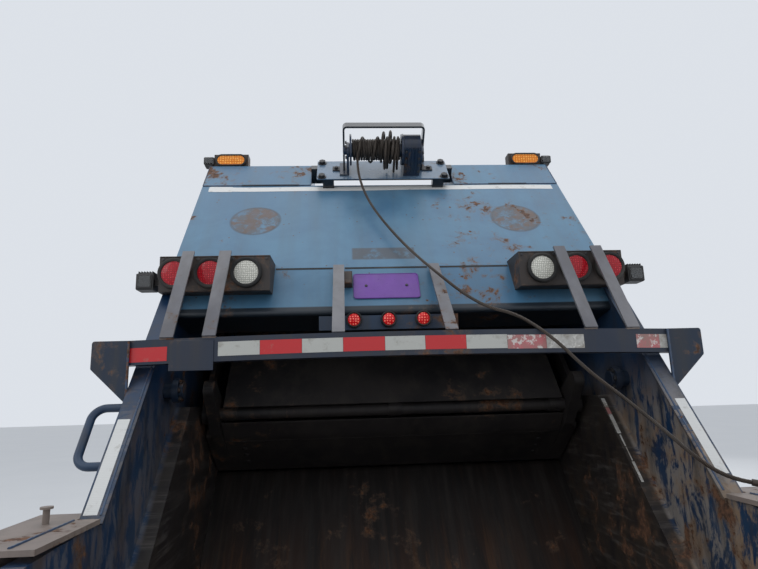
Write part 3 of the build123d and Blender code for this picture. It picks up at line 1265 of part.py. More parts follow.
def seats():
    """Two seats on their pedestals."""
    pieces = []
    for x in SEAT_XS:
        y = DOOR_BACK_Y + 260
        pieces.append(block(x - 180, x + 180, y - 180, y + 180, SEAT_Z, SEAT_Z + 230))
        cushion = side_prism([(y - 240, SEAT_Z + 229, 40), (y + 260, SEAT_Z + 229, 50),
                              (y + 260, SEAT_Z + 370, 60),
                              (y - 240, SEAT_Z + 350, 30)], x - 250, x + 250)
        back = side_prism([(y - 240, SEAT_Z + 325), (y - 120, SEAT_Z + 325), (y - 210, SEAT_Z + 980, 50),
                           (y - 320, SEAT_Z + 980, 50)], x - 245, x + 245)
        pieces[-1] = pieces[-1] + cushion + back
    return group(*pieces)


def cab_inside():
    """Dashboard, and the steering wheel on its column."""
    half = CAB_HALF - CAB_WALL - 8
    y = CAB_FRONT_Y - CAB_WALL - WELD
    dash = side_prism([(y, 1300), (y, COWL_Z - 20), (y - 260, COWL_Z - 40, 60), (y - 330, COWL_Z - 190, 60),
                       (y - 200, 1330, 40)], -half, half)
    hub = Vector(SEAT_XS[0], y - 470, 1690)
    tilt = Vector(0, -0.66, 0.75)
    column = rod(hub, hub - tilt * 420, 32)
    ring = Plane(hub, x_dir=(1, 0, 0), z_dir=tilt) * Torus(225, 15)
    spokes = Plane(hub, x_dir=(1, 0, 0), z_dir=tilt) * Box(440, 36, 12)
    spokes += Plane(hub, x_dir=(1, 0, 0), z_dir=tilt) * Pos(0, -110, 0) * Box(36, 222, 12)
    return dash + column + ring + spokes


def mirrors():
    """Tall mirrors on bent tube arms from the cab's front corners."""
    y = CAB_FRONT_Y - 60
    foot = block(CAB_HALF + WELD, CAB_HALF + 9, y - 35, y + 35, 1525, 1595)
    arm = bent_tube([(CAB_HALF + 7, y, 1560), (CAB_HALF + 190, y, 1620), (CAB_HALF + 190, y, 2290)],
                    (70,), 13)
    head = plan_prism([(CAB_HALF + 95, y - 55, 20), (CAB_HALF + 285, y - 55, 20),
                       (CAB_HALF + 265, y + 20, 30),
                       (CAB_HALF + 115, y + 20, 30)], 1830, 2240)
    return both_sides(foot + arm + head)


def exhaust_stack():
    """Upright silencer and pipe behind the cab, on a bracket from the chassis rail."""
    x, y = 690, (BODY_FRONT_Y + CAB_BACK_Y) / 2 + 17
    stack = rod((x, y, FRAME_TOP_Z - 60), (x, y, 2950), 50)
    stack += rod((x, y, 1350), (x, y, 2250), 82)
    stack -= rod((x, y, 2700), (x, y, 2960), 46)
    stack += block(FRAME_HALF + WELD, x + 40, y - 40, y + 40, FRAME_TOP_Z - 80, FRAME_TOP_Z - 55)
    return stack


TANK_R = 285.0


def fuel_tank():
    """Round fuel tank hung on the left rail, with its straps, brackets and step treads."""
    x, z = -(FRAME_HALF + 40 + TANK_R), 650
    y0, y1 = CAB_BACK_Y + 30, DOOR_FRONT_Y - 240
    tank = rod((x, y0, z), (x, y1, z), TANK_R)
    for y in (y0 + 150, y1 - 150):
        tank += rod((x, y - 30, z), (x, y + 30, z), TANK_R + 5)
        tank += block(-FRAME_HALF - 60, -FRAME_HALF - WELD, y - 30, y + 30, z - 120, z + 200)
    tank += block(x - TANK_R + 20, x, y0 + 120, y1 - 120, z + 255, z + 290)
    return tank


def battery_box():
    """Battery box hung on the right rail, with two steps up to the cab."""
    x0, x1 = FRAME_HALF + WELD, FRAME_HALF + 560
    y0, y1 = CAB_BACK_Y + 80, DOOR_FRONT_Y - 240
    box = front_prism([(x0, 560, 20), (x1, 560, 20), (x1, 900, 40), (x0, 900)], y0, y1)
    for z in (430, 700):
        box += block(x1 - 2, x1 + 130, y0 + 60, y1 - 60, z, z + 22)
    for y in (y0 + 70, y1 - 90):
        box += block(x1 - 30, x1 + 20, y, y + 20, 430, 580)
    return box


def mud_flaps():
    """Rubber flaps before and behind the twin wheels, hung from the body's cross members."""
    back = REAR_AXLE_Y - TYRE_R - 62
    flap = block(TWIN_IN_X - 150, TWIN_OUT_X + 140, back, back + 10, 380,
                 BODY_FLOOR_Z - WELD)
    return both_sides(flap)


# Rope from the drum, down the slope, over the guard bar and the beam, to the right ear: x, y, z
ROPE_ROUTE = (
    (-142, REAR_Y + 1469, 2983),
    (-141, REAR_Y + 1490, 2900),
    (-124, REAR_Y + 1459, 2806),
    (-92, REAR_Y + 1405, 2700),
    (-48, REAR_Y + 1335, 2598),
    (8, REAR_Y + 1255, 2492),
    (66, REAR_Y + 1170, 2392),
    (122, REAR_Y + 1085, 2304),
    (182, REAR_Y + 985, 2214),
    (262, REAR_Y + 921, 2122),
    (350, REAR_Y + 859, 2048),
    (440, REAR_Y + 789, 2012),
    (534, REAR_Y + 677, 1908),
    (632, REAR_Y + 629, 1778),
    (726, REAR_Y + 573, 1682),
    (804, REAR_Y + 517, 1590),
    (868, REAR_Y + 465, 1504),
    (930, REAR_Y + 403, 1438),
    (990, REAR_Y + 377, 1427),
)
HOOK_REACH = 62.0     # rope end to the middle of the hook's ring


def rope_tube():
    """Free run of the winch rope, as straight runs joined by the largest tangent arcs."""
    points = [Vector(*point) for point in ROPE_ROUTE]
    radii = []
    for before, corner, after in zip(points, points[1:], points[2:]):
        turn = radians((corner - before).get_angle(after - corner))
        shorter = min((corner - before).length, (after - corner).length)
        radii.append(0.45 * shorter / tan(turn / 2))
    print("rope radii", [round(radius) for radius in radii])
    path = FilletPolyline(*points, radius=radii)
    tube = sweep(Plane(path @ 0, z_dir=path % 0) * Circle(ROPE_R), path=path)
    print("rope length", round(path.length), "volume ratio", tube.volume / (pi * ROPE_R ** 2 * path.length))
    return tube


def rope_hook():
    """Swaged sleeve and eye at the rope's end, shackled over the edge of the right ear."""
    end = Vector(*ROPE_ROUTE[-1])
    way = (end - Vector(*ROPE_ROUTE[-2])).normalized()
    sleeve = rod(end, end + way * 45, 10)
    across = Vector(0, 0, 1).cross(way)
    ring = Plane(end + way * HOOK_REACH, x_dir=way, z_dir=way.cross(across)) * Torus(22, 7)
    return sleeve + ring


def main():
    """Build every node and write it."""
    os.makedirs("parts", exist_ok=True)
    shell, door, pane, fixed_glass = cab_parts()
    front_tyre, front_rim = front_wheel()
    rear_tyres, rear_rims = rear_wheel()
    right_knuckle = knuckle()
    nodes = {
        "tail_sides": tail_sides(),
        "tail_top": tail_top(),
        "hopper_floor": hopper_floor(),
        "tail_beam": tail_beam(),
        "beam_wings": beam_wings(),
        "guard_bars": guard_bars(),
        "tail_fittings": tail_fittings(),
        "lamp_housings": lamp_housings(),
        "red_lamps": red_lamps(),
        "clear_lamps": clear_lamps(),
        "amber_lamps": amber_lamps(),
        "winch_base": winch_base(),
        "winch": winch(),
        "rope_coil": rope_winding(),
        "rope_run": rope_tube(),
        "rope_hook": rope_hook(),
        "container_ears": container_ears(),
        "grab_handles": grab_handles(),
        "packer_slide": packer_slide(),
        "packer_blade": packer_blade(),
        "lift_barrels": lift_barrels(),
        "lift_rods": lift_rods(),
        "body_sides": body_sides(),
        "body_roof": body_roof(),
        "body_bulkhead": body_bulkhead(),
        "body_floor": body_floor(),
        "ejector_panel": ejector_panel(),
        "frame_rails": frame_rails(),
        "front_axle": front_axle(),
        "rear_axle": rear_axle(),
        "power_unit": power_unit(),
        "bumper": bumper(),
        "fuel_tank": fuel_tank(),
        "battery_box": battery_box(),
        "mud_flaps": mud_flaps(),
        "exhaust_stack": exhaust_stack(),
        "cab_shell": shell,
        "cab_glass": fixed_glass,
        "cab_inside": cab_inside(),
        "seats": seats(),
        "mirrors": mirrors(),
        "hood": hood(),
        "grille": grille(),
        "headlamps": headlamps(),
    }
    for name, right in (("door", door), ("door_glass", pane), ("knuckle", right_knuckle),
                        ("front_tyre", front_tyre), ("front_rim", front_rim),
                        ("rear_tyres", rear_tyres), ("rear_rims", rear_rims)):
        nodes[name + "_right"] = right
        nodes[name + "_left"] = mirror(right, about=Plane.YZ)
    for name, shape in nodes.items():
        save(name, shape)
    print(len(nodes), "nodes")


main()
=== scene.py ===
"""Rear-loading garbage truck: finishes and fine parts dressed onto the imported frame.

Every length is in metres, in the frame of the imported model: +X is the truck's right-hand side,
+Y its front and +Z up, with the origin on the ground under its middle.
"""
from __future__ import annotations

import logging
from dataclasses import dataclass
from enum import Enum
from functools import cached_property
from math import atan2, cos, pi, radians, sin, sqrt
from typing import Any, Sequence

import bpy
import numpy as np
from mathutils import Matrix

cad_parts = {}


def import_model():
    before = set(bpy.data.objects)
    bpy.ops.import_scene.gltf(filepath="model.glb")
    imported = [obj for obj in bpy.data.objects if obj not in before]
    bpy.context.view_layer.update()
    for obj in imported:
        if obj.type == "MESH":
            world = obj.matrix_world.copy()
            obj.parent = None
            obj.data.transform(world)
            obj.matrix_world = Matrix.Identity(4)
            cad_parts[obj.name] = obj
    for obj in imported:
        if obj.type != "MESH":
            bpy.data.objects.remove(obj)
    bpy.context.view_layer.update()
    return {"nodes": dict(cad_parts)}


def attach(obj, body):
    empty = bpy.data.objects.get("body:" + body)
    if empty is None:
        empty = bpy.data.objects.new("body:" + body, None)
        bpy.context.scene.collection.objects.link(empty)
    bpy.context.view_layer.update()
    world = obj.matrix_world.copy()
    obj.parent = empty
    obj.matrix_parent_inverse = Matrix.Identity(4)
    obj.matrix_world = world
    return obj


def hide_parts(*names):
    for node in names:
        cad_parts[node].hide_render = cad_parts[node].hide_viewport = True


LOG = logging.getLogger("garbage_truck")
Array = np.ndarray
Pair = tuple[float, float]
Triple = tuple[float, float, float]
Vector = Sequence[float]
Socket = bpy.types.NodeSocket
# Points, and blocks of polygons as rows of indices
Shape = tuple[Array, list]
X, Y, Z = np.eye(3)

SLOPE_ANGLE = radians(50.7)
SLOPE_UP = np.array((0.0, cos(SLOPE_ANGLE), sin(SLOPE_ANGLE)))
SLOPE_OUT = np.array((0.0, -sin(SLOPE_ANGLE), cos(SLOPE_ANGLE)))
SLOPE_FOOT = np.array((0.0, -3.618, 1.38))
APRON_UP = np.array((0.0, 0.5, sqrt(0.75)))
APRON_OUT = np.array((0.0, -sqrt(0.75), 0.5))
APRON_TOP = SLOPE_FOOT + SLOPE_UP * (2.295 - 1.38) / SLOPE_UP[2]
TYRE_R = 0.525
AXLE_Z = TYRE_R
FRONT_AXLE_Y = 3.0
REAR_AXLE_Y = -1.175
SIDES = ((1, "right"), (-1, "left"))


def unit(vector: Vector) -> Array:
    """Scale a vector to length one."""
    v = np.asarray(vector, float)
    return v / np.linalg.norm(v)


def slope_point(x: float, z: float, proud: float = 0.0) -> Array:
    """Point on the tailgate's slope at x and height z, raised off it by proud."""
    along = (z - SLOPE_FOOT[2]) / SLOPE_UP[2]
    return SLOPE_FOOT + SLOPE_UP * along + SLOPE_OUT * proud + X * x


def apron_point(x: float, z: float, proud: float = 0.0) -> Array:
    """Point on the steeper apron at x and height z, raised off it by proud."""
    along = (z - APRON_TOP[2]) / APRON_UP[2]
    return APRON_TOP + APRON_UP * along + APRON_OUT * proud + X * x


def placed(name: str, data: bpy.types.ID) -> bpy.types.Object:
    """Link a new object to the scene.

    Args:
        name: the object's name.
        data: its mesh, curve, lamp or camera.

    Returns:
        The object.
    """
    made = bpy.data.objects.new(name, data)
    bpy.context.scene.collection.objects.link(made)
    return made


def pose(turn: Array, place: Vector) -> Matrix:
    """Matrix of a turn and a place.

    Args:
        turn: 3x3 array whose columns are the turned axes.
        place: where the origin goes.

    Returns:
        The 4x4 matrix.
    """
    whole = np.eye(4)
    whole[:3, :3], whole[:3, 3] = turn, place
    return Matrix(whole.tolist())


class Mesh:
    """Gathers points and polygons of one piece and builds its object."""

    def __init__(self) -> None:
        """Start empty."""
        self._points: list[Array] = []
        self._loops: list[Array] = []
        self._sizes: list[Array] = []
        self._count = 0

    def add(self, shape: Shape, move: Vector = (0, 0, 0), turn: Array | None = None) -> "Mesh":
        """Add a shape, turned by the columns of turn and then moved.

        Args:
            shape: points and polygons of one shape.
            move: shift of the whole shape, in metres.
            turn: columns that its axes turn to.

        Returns:
            This mesh, so that calls can follow on.
        """
        points, faces = shape if turn is None else turned(shape, turn)
        points = np.asarray(points, float) + np.asarray(move, float)
        self._points.append(points)
        for block in faces:
            block = np.asarray(block, np.int64)
            self._loops.append((block + self._count).ravel())
            self._sizes.append(np.full(len(block), block.shape[1]))
        self._count += len(points)
        return self

    def ring(self, shape: Shape, centre: Vector, turn: Array, radius: float, count: int,
             start: float = 0.0) -> None:
        """Add copies of a shape evenly round a circle in the plane of turn's x and y columns.

        Args:
            shape: points and polygons of one shape.
            centre: the circle's middle.
            turn: columns that the circle's and the shape's axes turn to.
            radius: of the circle.
            count: how many copies.
            start: the first one's angle, in degrees.
        """
        for angle in np.radians(start + 360 / count * np.arange(count)):
            spoke = turn @ np.array((radius * cos(angle), radius * sin(angle), 0))
            self.add(shape, centre + spoke, turn)

    def build(self, name: str, finish: "Finish", body: str, angle: float = 35.0) -> bpy.types.Object:
        """Make the object, shade it smooth below an angle, and let it ride on a body.

        Args:
            name: the piece's name.
            finish: its material and slot.
            body: the body it rides on.
            angle: edges sharper than this, in degrees, stay sharp.

        Returns:
            The finished object.
        """
        mesh = bpy.data.meshes.new(name)
        points = np.vstack(self._points).astype(np.float32)
        loops = np.concatenate(self._loops).astype(np.int32)
        sizes = np.concatenate(self._sizes).astype(np.int32)
        mesh.vertices.add(len(points))
        mesh.vertices.foreach_set("co", points.ravel())
        mesh.loops.add(len(loops))
        mesh.loops.foreach_set("vertex_index", loops)
        mesh.polygons.add(len(sizes))
        starts = np.concatenate(([0], np.cumsum(sizes)[:-1]))
        mesh.polygons.foreach_set("loop_start", starts.astype(np.int32))
        mesh.update(calc_edges=True)
        mesh.validate()
        mesh.shade_smooth()
        mesh.set_sharp_from_angle(angle=radians(angle))
        piece = placed(name, mesh)
        mesh.materials.append(finish.material)
        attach(piece, body)
        LOG.info("%s on %s, %d faces", name, body, len(sizes))
        return piece


def build_all(body: str, *pieces: tuple[Mesh, str, "Finish"]) -> None:
    """Build pieces that ride on one body.

    Args:
        body: the body they ride on.
        *pieces: mesh, name and finish of each.
    """
    for mesh, name, finish in pieces:
        mesh.build(name, finish, body)


def axes(out: Vector, up: Vector = (0, 0, 1)) -> Array:
    """Turn whose z column is out and whose y column is as near up as it can be.

    Args:
        out: direction for z.
        up: rough direction for y.

    Returns:
        The three axes as columns.
    """
    z = unit(out)
    x = np.cross(np.asarray(up, float), z)
    x = unit(x) if np.linalg.norm(x) > 1e-6 else unit(np.cross(Y, z))
    return np.column_stack((x, np.cross(z, x), z))


def turned(shape: Shape, turn: Array, move: Vector = (0, 0, 0)) -> Shape:
    """Turn a shape by the columns of turn, then move it."""
    return np.asarray(shape[0]) @ np.asarray(turn).T + np.asarray(move, float), shape[1]


def joined(*shapes: Shape) -> Shape:
    """Join shapes into one.

    Args:
        *shapes: shapes to join, in order.

    Returns:
        The shape.
    """
    points, faces, count = [], [], 0
    for part, blocks in shapes:
        points.append(np.asarray(part, float))
        faces += [np.asarray(block) + count for block in blocks]
        count += len(part)
    return np.vstack(points), faces


def grid(rows: int, cols: int, wrap_rows: bool = False, wrap_cols: bool = False) -> Array:
    """Quads over a grid of points kept row by row.

    Args:
        rows: points down.
        cols: points across.
        wrap_rows: join the last row to the first.
        wrap_cols: join the last column to the first.

    Returns:
        Four indices for each quad.
    """
    r = np.arange(rows if wrap_rows else rows - 1)[:, None]
    c = np.arange(cols if wrap_cols else cols - 1)[None, :]
    r1, c1 = (r + 1) % rows, (c + 1) % cols
    return np.stack((r * cols + c, r * cols + c1, r1 * cols + c1, r1 * cols + c), -1).reshape(-1, 4)


def ends(rows: int, sides: int) -> list[Array]:
    """Flat faces that close the first and the last ring of a grid."""
    ring = np.arange(sides)
    return [ring[::-1][None], (ring + (rows - 1) * sides)[None]]


def circle(count: int) -> Array:
    """Even angles round a full turn."""
    return np.linspace(0, 2 * pi, count, endpoint=False)


def lathe(profile: Sequence[Pair], sides: int = 32, capped: bool = True) -> Shape:
    """Turn a profile of (height along z, radius) about z, closed by a flat face at each end.

    Args:
        profile: pairs of height and radius.
        sides: points round the ring.
        capped: close both ends.

    Returns:
        The shape.
    """
    shape = np.asarray(profile, float)
    ring = np.stack((np.cos(circle(sides)), np.sin(circle(sides))), -1)
    heights = np.broadcast_to(shape[:, None, :1], (len(shape), sides, 1))
    points = np.concatenate((shape[:, None, 1:] * ring[None], heights), -1)
    faces: list = [grid(len(shape), sides, wrap_cols=True)]
    if capped:
        faces += ends(len(shape), sides)
    return points.reshape(-1, 3), faces


def ring_of(radius: float, wire: float, sides: int = 48, round_sides: int = 10) -> Shape:
    """Torus about z with a round wire.

    Args:
        radius: middle of the wire.
        wire: the wire's radius.
        sides: points round the ring.
        round_sides: points round the wire.

    Returns:
        The shape.
    """
    a, b = circle(sides)[:, None], circle(round_sides)[None]
    r = radius + wire * np.cos(b)
    heights = np.broadcast_to(wire * np.sin(b), (sides, round_sides))
    points = np.stack((r * np.cos(a), r * np.sin(a), heights), -1)
    return points.reshape(-1, 3), [grid(sides, round_sides, True, True)]


def prism(corners: Sequence[Pair], depth: float, chamfer: float = 0.0) -> Shape:
    """Raise a flat counter-clockwise outline along z, with a small chamfer round both faces.

    Args:
        corners: the outline's points.
        depth: height along z.
        chamfer: size of the chamfer.

    Returns:
        The shape.
    """
    flat = np.asarray(corners, float)
    n = len(flat)
    before, after = np.roll(flat, 1, 0), np.roll(flat, -1, 0)
    d0 = (flat - before) / np.linalg.norm(flat - before, axis=1, keepdims=True)
    d1 = (after - flat) / np.linalg.norm(after - flat, axis=1, keepdims=True)
    inward = np.stack((-(d0 + d1)[:, 1], (d0 + d1)[:, 0]), -1)
    inward /= np.maximum(1 + (d0 * d1).sum(1, keepdims=True), 0.3)
    small = flat + inward * chamfer
    if chamfer > 0:
        levels = ((small, 0), (flat, chamfer), (flat, depth - chamfer), (small, depth))
    else:
        levels = ((flat, 0), (flat, depth))
    points = np.vstack([np.column_stack((ring, np.full(n, z))) for ring, z in levels])
    return points, [grid(len(levels), n, wrap_cols=True), *ends(len(levels), n)]


def rounded(width: float, height: float, radius: float, steps: int = 5) -> list[Pair]:
    """Outline of a rectangle about the origin with rounded corners, counter-clockwise.

    Args:
        width: size along x.
        height: size along y.
        radius: of the corners.
        steps: points to each corner.

    Returns:
        The outline's points.
    """
    corners = []
    for k, (sx, sy) in enumerate(((1, -1), (1, 1), (-1, 1), (-1, -1))):
        x, y = sx * (width / 2 - radius), sy * (height / 2 - radius)
        for a in np.radians(np.linspace(-90, 0, steps) + 90 * k):
            corners.append((x + radius * cos(a), y + radius * sin(a)))
    return corners


def box(size: Vector, chamfer: float = 0.002) -> Shape:
    """Box about the origin with chamfered long edges.

    Args:
        size: lengths along x, y and z.
        chamfer: size of the chamfer.

    Returns:
        The shape.
    """
    x, y = size[0] / 2, size[1] / 2
    corners = [(-x, -y), (x, -y), (x, y), (-x, y)]
    points, faces = prism(corners, size[2], min(chamfer, *np.divide(size, 4)))
    return points - (0, 0, size[2] / 2), faces


def box_between(low: Vector, high: Vector, chamfer: float = 0.002) -> Shape:
    """Chamfered box between two opposite corners.

    Args:
        low: one corner.
        high: the opposite corner.
        chamfer: size of the chamfer.

    Returns:
        The shape.
    """
    low, high = np.minimum(low, high), np.maximum(low, high)
    points, faces = box(high - low, chamfer)
    return points + (low + high) / 2, faces


def frames(path: Array) -> tuple[Array, Array]:
    """Side vectors along a path that turn as little as they can.

    Args:
        path: points of the path.

    Returns:
        The side and the up vectors at each point.
    """
    way = np.gradient(path, axis=0)
    way /= np.linalg.norm(way, axis=1, keepdims=True)
    side = np.empty_like(path)
    side[0] = unit(np.cross(way[0], Z if abs(way[0][2]) < 0.9 else X))
    for i in range(1, len(path)):
        carried = side[i - 1] - way[i] * (side[i - 1] @ way[i])
        side[i] = carried / np.linalg.norm(carried)
    return side, np.cross(way, side)


def tube(path: Sequence[Vector], radius: float, sides: int = 12, closed: bool = False) -> Shape:
    """Round tube along a path, with flat ends, or closed on itself.

    Args:
        path: points of its middle line.
        radius: of the tube.
        sides: points round it.
        closed: join its end to its start.

    Returns:
        The shape.
    """
    line = np.asarray(path, float)
    side, up = frames(np.vstack((line, line[:1]))) if closed else frames(line)
    side, up = side[:len(line)], up[:len(line)]
    a = circle(sides)[:, None]
    points = line[:, None] + radius * (side[:, None] * np.cos(a) + up[:, None] * np.sin(a))
    faces: list = [grid(len(line), sides, wrap_rows=closed, wrap_cols=True)]
    if not closed:
        faces += ends(len(line), sides)
    return points.reshape(-1, 3), faces


def bead(start: Vector, end: Vector, radius: float = 0.004) -> Shape:
    """Weld bead whose radius ripples along a straight line.

    Args:
        start: first end.
        end: second end.
        radius: of the bead.

    Returns:
        The shape.
    """
    a, b = np.asarray(start, float), np.asarray(end, float)
    count = max(8, int(np.linalg.norm(b - a) / 0.009))
    path = np.linspace(a, b, count)
    points, faces = tube(path, radius, 6)
    swell = 1 + 0.16 * np.sin(np.arange(count) * 2.1)[:, None, None]
    return (path[:, None] + (points.reshape(count, 6, 3) - path[:, None]) * swell).reshape(-1, 3), faces


def smooth_path(corners: Sequence[Vector], count: int = 48) -> Array:
    """Even points along a Catmull-Rom curve through corners.

    Args:
        corners: points the curve goes through.
        count: points wanted.

    Returns:
        Points along the curve.
    """
    p = np.asarray(corners, float)
    p = np.vstack((2 * p[0] - p[1], p, 2 * p[-1] - p[-2]))
    t = np.linspace(0, len(p) - 3 - 1e-9, count)
    i = t.astype(int)
    f = (t - i)[:, None]
    a, b, c, d = p[i], p[i + 1], p[i + 2], p[i + 3]
    square, cube = 2 * a - 5 * b + 4 * c - d, 3 * b - a - 3 * c + d
    return 0.5 * (2 * b + (c - a) * f + square * f ** 2 + cube * f ** 3)


def bolt(size: float) -> Shape:
    """Hexagon head on its washer, standing on z = 0.

    Args:
        size: the thread's diameter.

    Returns:
        The shape.
    """
    a = np.radians(np.arange(6) * 60 + 30)
    base, reach = 0.18 * size, 0.9 * size
    flat = np.column_stack((reach * np.cos(a), reach * np.sin(a)))
    points, faces = prism(flat, 0.62 * size, 0.09 * size)
    washer = lathe([(0, 1.15 * size), (base * 0.8, 1.15 * size), (base, 1.08 * size)], 16)
    return joined(washer, (points + (0, 0, base), faces))


def rivet(radius: float = 0.006) -> Shape:
    """Domed rivet head standing on z = 0."""
    a = np.radians((0, 25, 50, 75))
    return lathe([(0.55 * radius * sin(t), radius * cos(t)) for t in a], 10)


def ribbon(path: Sequence[Vector], across: Vector, out: Vector, width: float,
           thick: float = 0.0006) -> Shape:
    """Thin flat strip along a path, on a surface that faces out.

    Args:
        path: middle line of its underside.
        across: direction of its width.
        out: direction the surface faces.
        width: of the strip.
        thick: its thickness.

    Returns:
        The shape.
    """
    line = np.asarray(path, float)
    across, out = unit(across) * width / 2, unit(out) * thick
    ring = np.stack((line - across, line + across, line + across + out, line - across + out), 1)
    return ring.reshape(-1, 3), [grid(len(line), 4, wrap_cols=True), *ends(len(line), 4)]


class Tree:
    """Short way to write a material's nodes."""

    def __init__(self, name: str) -> None:
        """Start a material with its surface shader and the object's coordinates.

        Args:
            name: the material's name.
        """
        self.material = bpy.data.materials.new(name)
        self.material.use_nodes = True
        self._tree = self.material.node_tree
        self.shader = self._tree.nodes["Principled BSDF"]
        self.coords = self.node("TexCoord").outputs["Object"]

    def node(self, kind: str, settings: dict[str, Any] | None = None, **inputs: Any) -> bpy.types.Node:
        """Make a node, set its properties, and set or link its inputs by name or number.

        Args:
            kind: the node's type, without ShaderNode.
            settings: its properties.
            **inputs: values or sockets by input name, or by number after a line.

        Returns:
            The new node.
        """
        made = self._tree.nodes.new("ShaderNode" + kind)
        for key, value in (settings or {}).items():
            setattr(made, key, value)
        for key, value in inputs.items():
            socket = made.inputs[int(key[1:])] if key[0] == "_" else made.inputs[key.replace("_", " ")]
            self.put(socket, value)
        return made

    def put(self, socket: Socket, value: Any) -> None:
        """Link a socket to another, or set its value.

        Args:
            socket: the input.
            value: a number, a tuple or another socket.
        """
        if isinstance(value, Socket):
            self._tree.links.new(value, socket)
        else:
            socket.default_value = value

    def feed(self, **inputs: Any) -> None:
        """Set or link inputs of the surface shader."""
        for key, value in inputs.items():
            self.put(self.shader.inputs[key.replace("_", " ")], value)

    def spread(self, scale: Vector) -> Socket:
        """Object coordinates stretched by a factor on each axis."""
        settings = {"operation": "MULTIPLY"}
        return self.node("VectorMath", settings, _0=self.coords, _1=tuple(scale)).outputs[0]

    def noise(self, scale: float, detail: float = 4.0, rough: float = 0.55,
              stretch: Vector | None = None, bend: float = 0.0) -> Socket:
        """Noise from 0 to 1 over the piece.

        Args:
            scale: waves to a metre.
            detail: octaves.
            rough: share of the fine octaves.
            stretch: factor on each axis.
            bend: how far the pattern is drawn askew.

        Returns:
            The value's socket.
        """
        where = self.spread(stretch) if stretch else self.coords
        return self.node(
            "TexNoise", Vector=where, Scale=scale, Detail=detail, Roughness=rough,
            Distortion=bend).outputs[0]

    def cells(self, scale: float, feature: str = "F1", stretch: Vector | None = None,
              jitter: float = 1.0) -> Socket:
        """Distance in a pattern of cells.

        Args:
            scale: cells to a metre.
            feature: which distance.
            stretch: factor on each axis.
            jitter: 0 for an even grid of cells.

        Returns:
            The distance's socket.
        """
        where = self.spread(stretch) if stretch else self.coords
        return self.node(
            "TexVoronoi", {"feature": feature}, Vector=where, Scale=scale,
            Randomness=jitter).outputs["Distance"]

    def math(self, operation: str, a: Any, b: Any = 0.0, clamp: bool = False) -> Socket:
        """Arithmetic on two values."""
        settings = {"operation": operation, "use_clamp": clamp}
        return self.node("Math", settings, _0=a, _1=b).outputs[0]

    def mul(self, a: Any, b: Any, clamp: bool = False) -> Socket:
        """Product of two values."""
        return self.math("MULTIPLY", a, b, clamp)

    def plus(self, a: Any, b: Any, clamp: bool = False) -> Socket:
        """Sum of two values."""
        return self.math("ADD", a, b, clamp)

    def minus(self, a: Any, b: Any) -> Socket:
        """First value less the second."""
        return self.math("SUBTRACT", a, b)

    def step(self, value: Any, low: float, high: float, out: Pair = (0.0, 1.0)) -> Any:
        """Rise smoothly from out[0] at low to out[1] at high."""
        smooth = {"interpolation_type": "SMOOTHSTEP"}
        return self.node("MapRange", smooth, _0=value, _1=low, _2=high, _3=out[0], _4=out[1]).outputs[0]

    def mix(self, share: Any, a: Any, b: Any) -> Socket:
        """Blend two colours.

        Args:
            share: how much of b.
            a: first colour.
            b: second colour.

        Returns:
            The colour's socket.
        """
        made = self.node("Mix", {"data_type": "RGBA"})
        self.put(made.inputs[0], share)
        self.put(made.inputs[6], a if isinstance(a, Socket) else (*a, 1.0))
        self.put(made.inputs[7], b if isinstance(b, Socket) else (*b, 1.0))
        return made.outputs[2]

    def bump(self, height: Any, strength: float, distance: float = 0.001, below: Any = None) -> Any:
        """Normal from a height in units of distance, over another normal when one is given.

        Args:
            height: socket of the height.
            strength: from 0 to 1.
            distance: the unit of height.
            below: a normal to add to.

        Returns:
            The normal's socket.
        """
        made = self.node("Bump", Strength=strength, Distance=distance, Height=height)
        if below is not None:
            self.put(made.inputs["Normal"], below)
        return made.outputs[0]

    def along(self, axis: int, mirror: bool = False) -> Socket:
        """One object coordinate, or its size when mirrored."""
        value = self.node("SeparateXYZ", _0=self.coords).outputs[axis]
        return self.math("ABSOLUTE", value) if mirror else value

    def band(self, value: Any, low: float, high: float, soft: float) -> Any:
        """1 between low and high, falling to 0 over soft on both sides.

        Args:
            value: socket to test.
            low: start.
            high: end.
            soft: half width of each edge.

        Returns:
            The share's socket.
        """
        up = self.step(value, low - soft, low + soft)
        down = self.step(value, high - soft, high + soft, (1.0, 0.0))
        return self.mul(up, down)

    def spot(self, x: float, z: float, radius: float, soft: float) -> Any:
        """1 inside a circle on the slope about (|x|, z), falling to 0 over soft.

        Args:
            x: distance from the middle plane.
            z: height.
            radius: of the circle.
            soft: half width of its edge.

        Returns:
            The share's socket.
        """
        dx = self.minus(self.along(0, True), x)
        dz = self.mul(self.minus(self.along(2), z), 1 / SLOPE_UP[2])
        away = self.math("SQRT", self.plus(self.mul(dx, dx), self.mul(dz, dz)))
        return self.step(away, radius - soft, radius + soft, (1.0, 0.0))


class WearAndShade(Enum):
    """Extra wear, and painted shade, that the photograph shows on one surface only."""

    NONE = 0
    SLOPE = 1
    MOUTH = 2
    FLOOR = 3
    PLATE = 4


GRIME = (0.035, 0.03, 0.026)
RUST_HALO = (0.12, 0.072, 0.046)
RUST_DEEP = (0.06, 0.03, 0.018)
RUST_PALE = (0.17, 0.08, 0.042)
# Middle of the slope's two worn discs: |x| and z
DISC_AT = (0.66, 2.598)


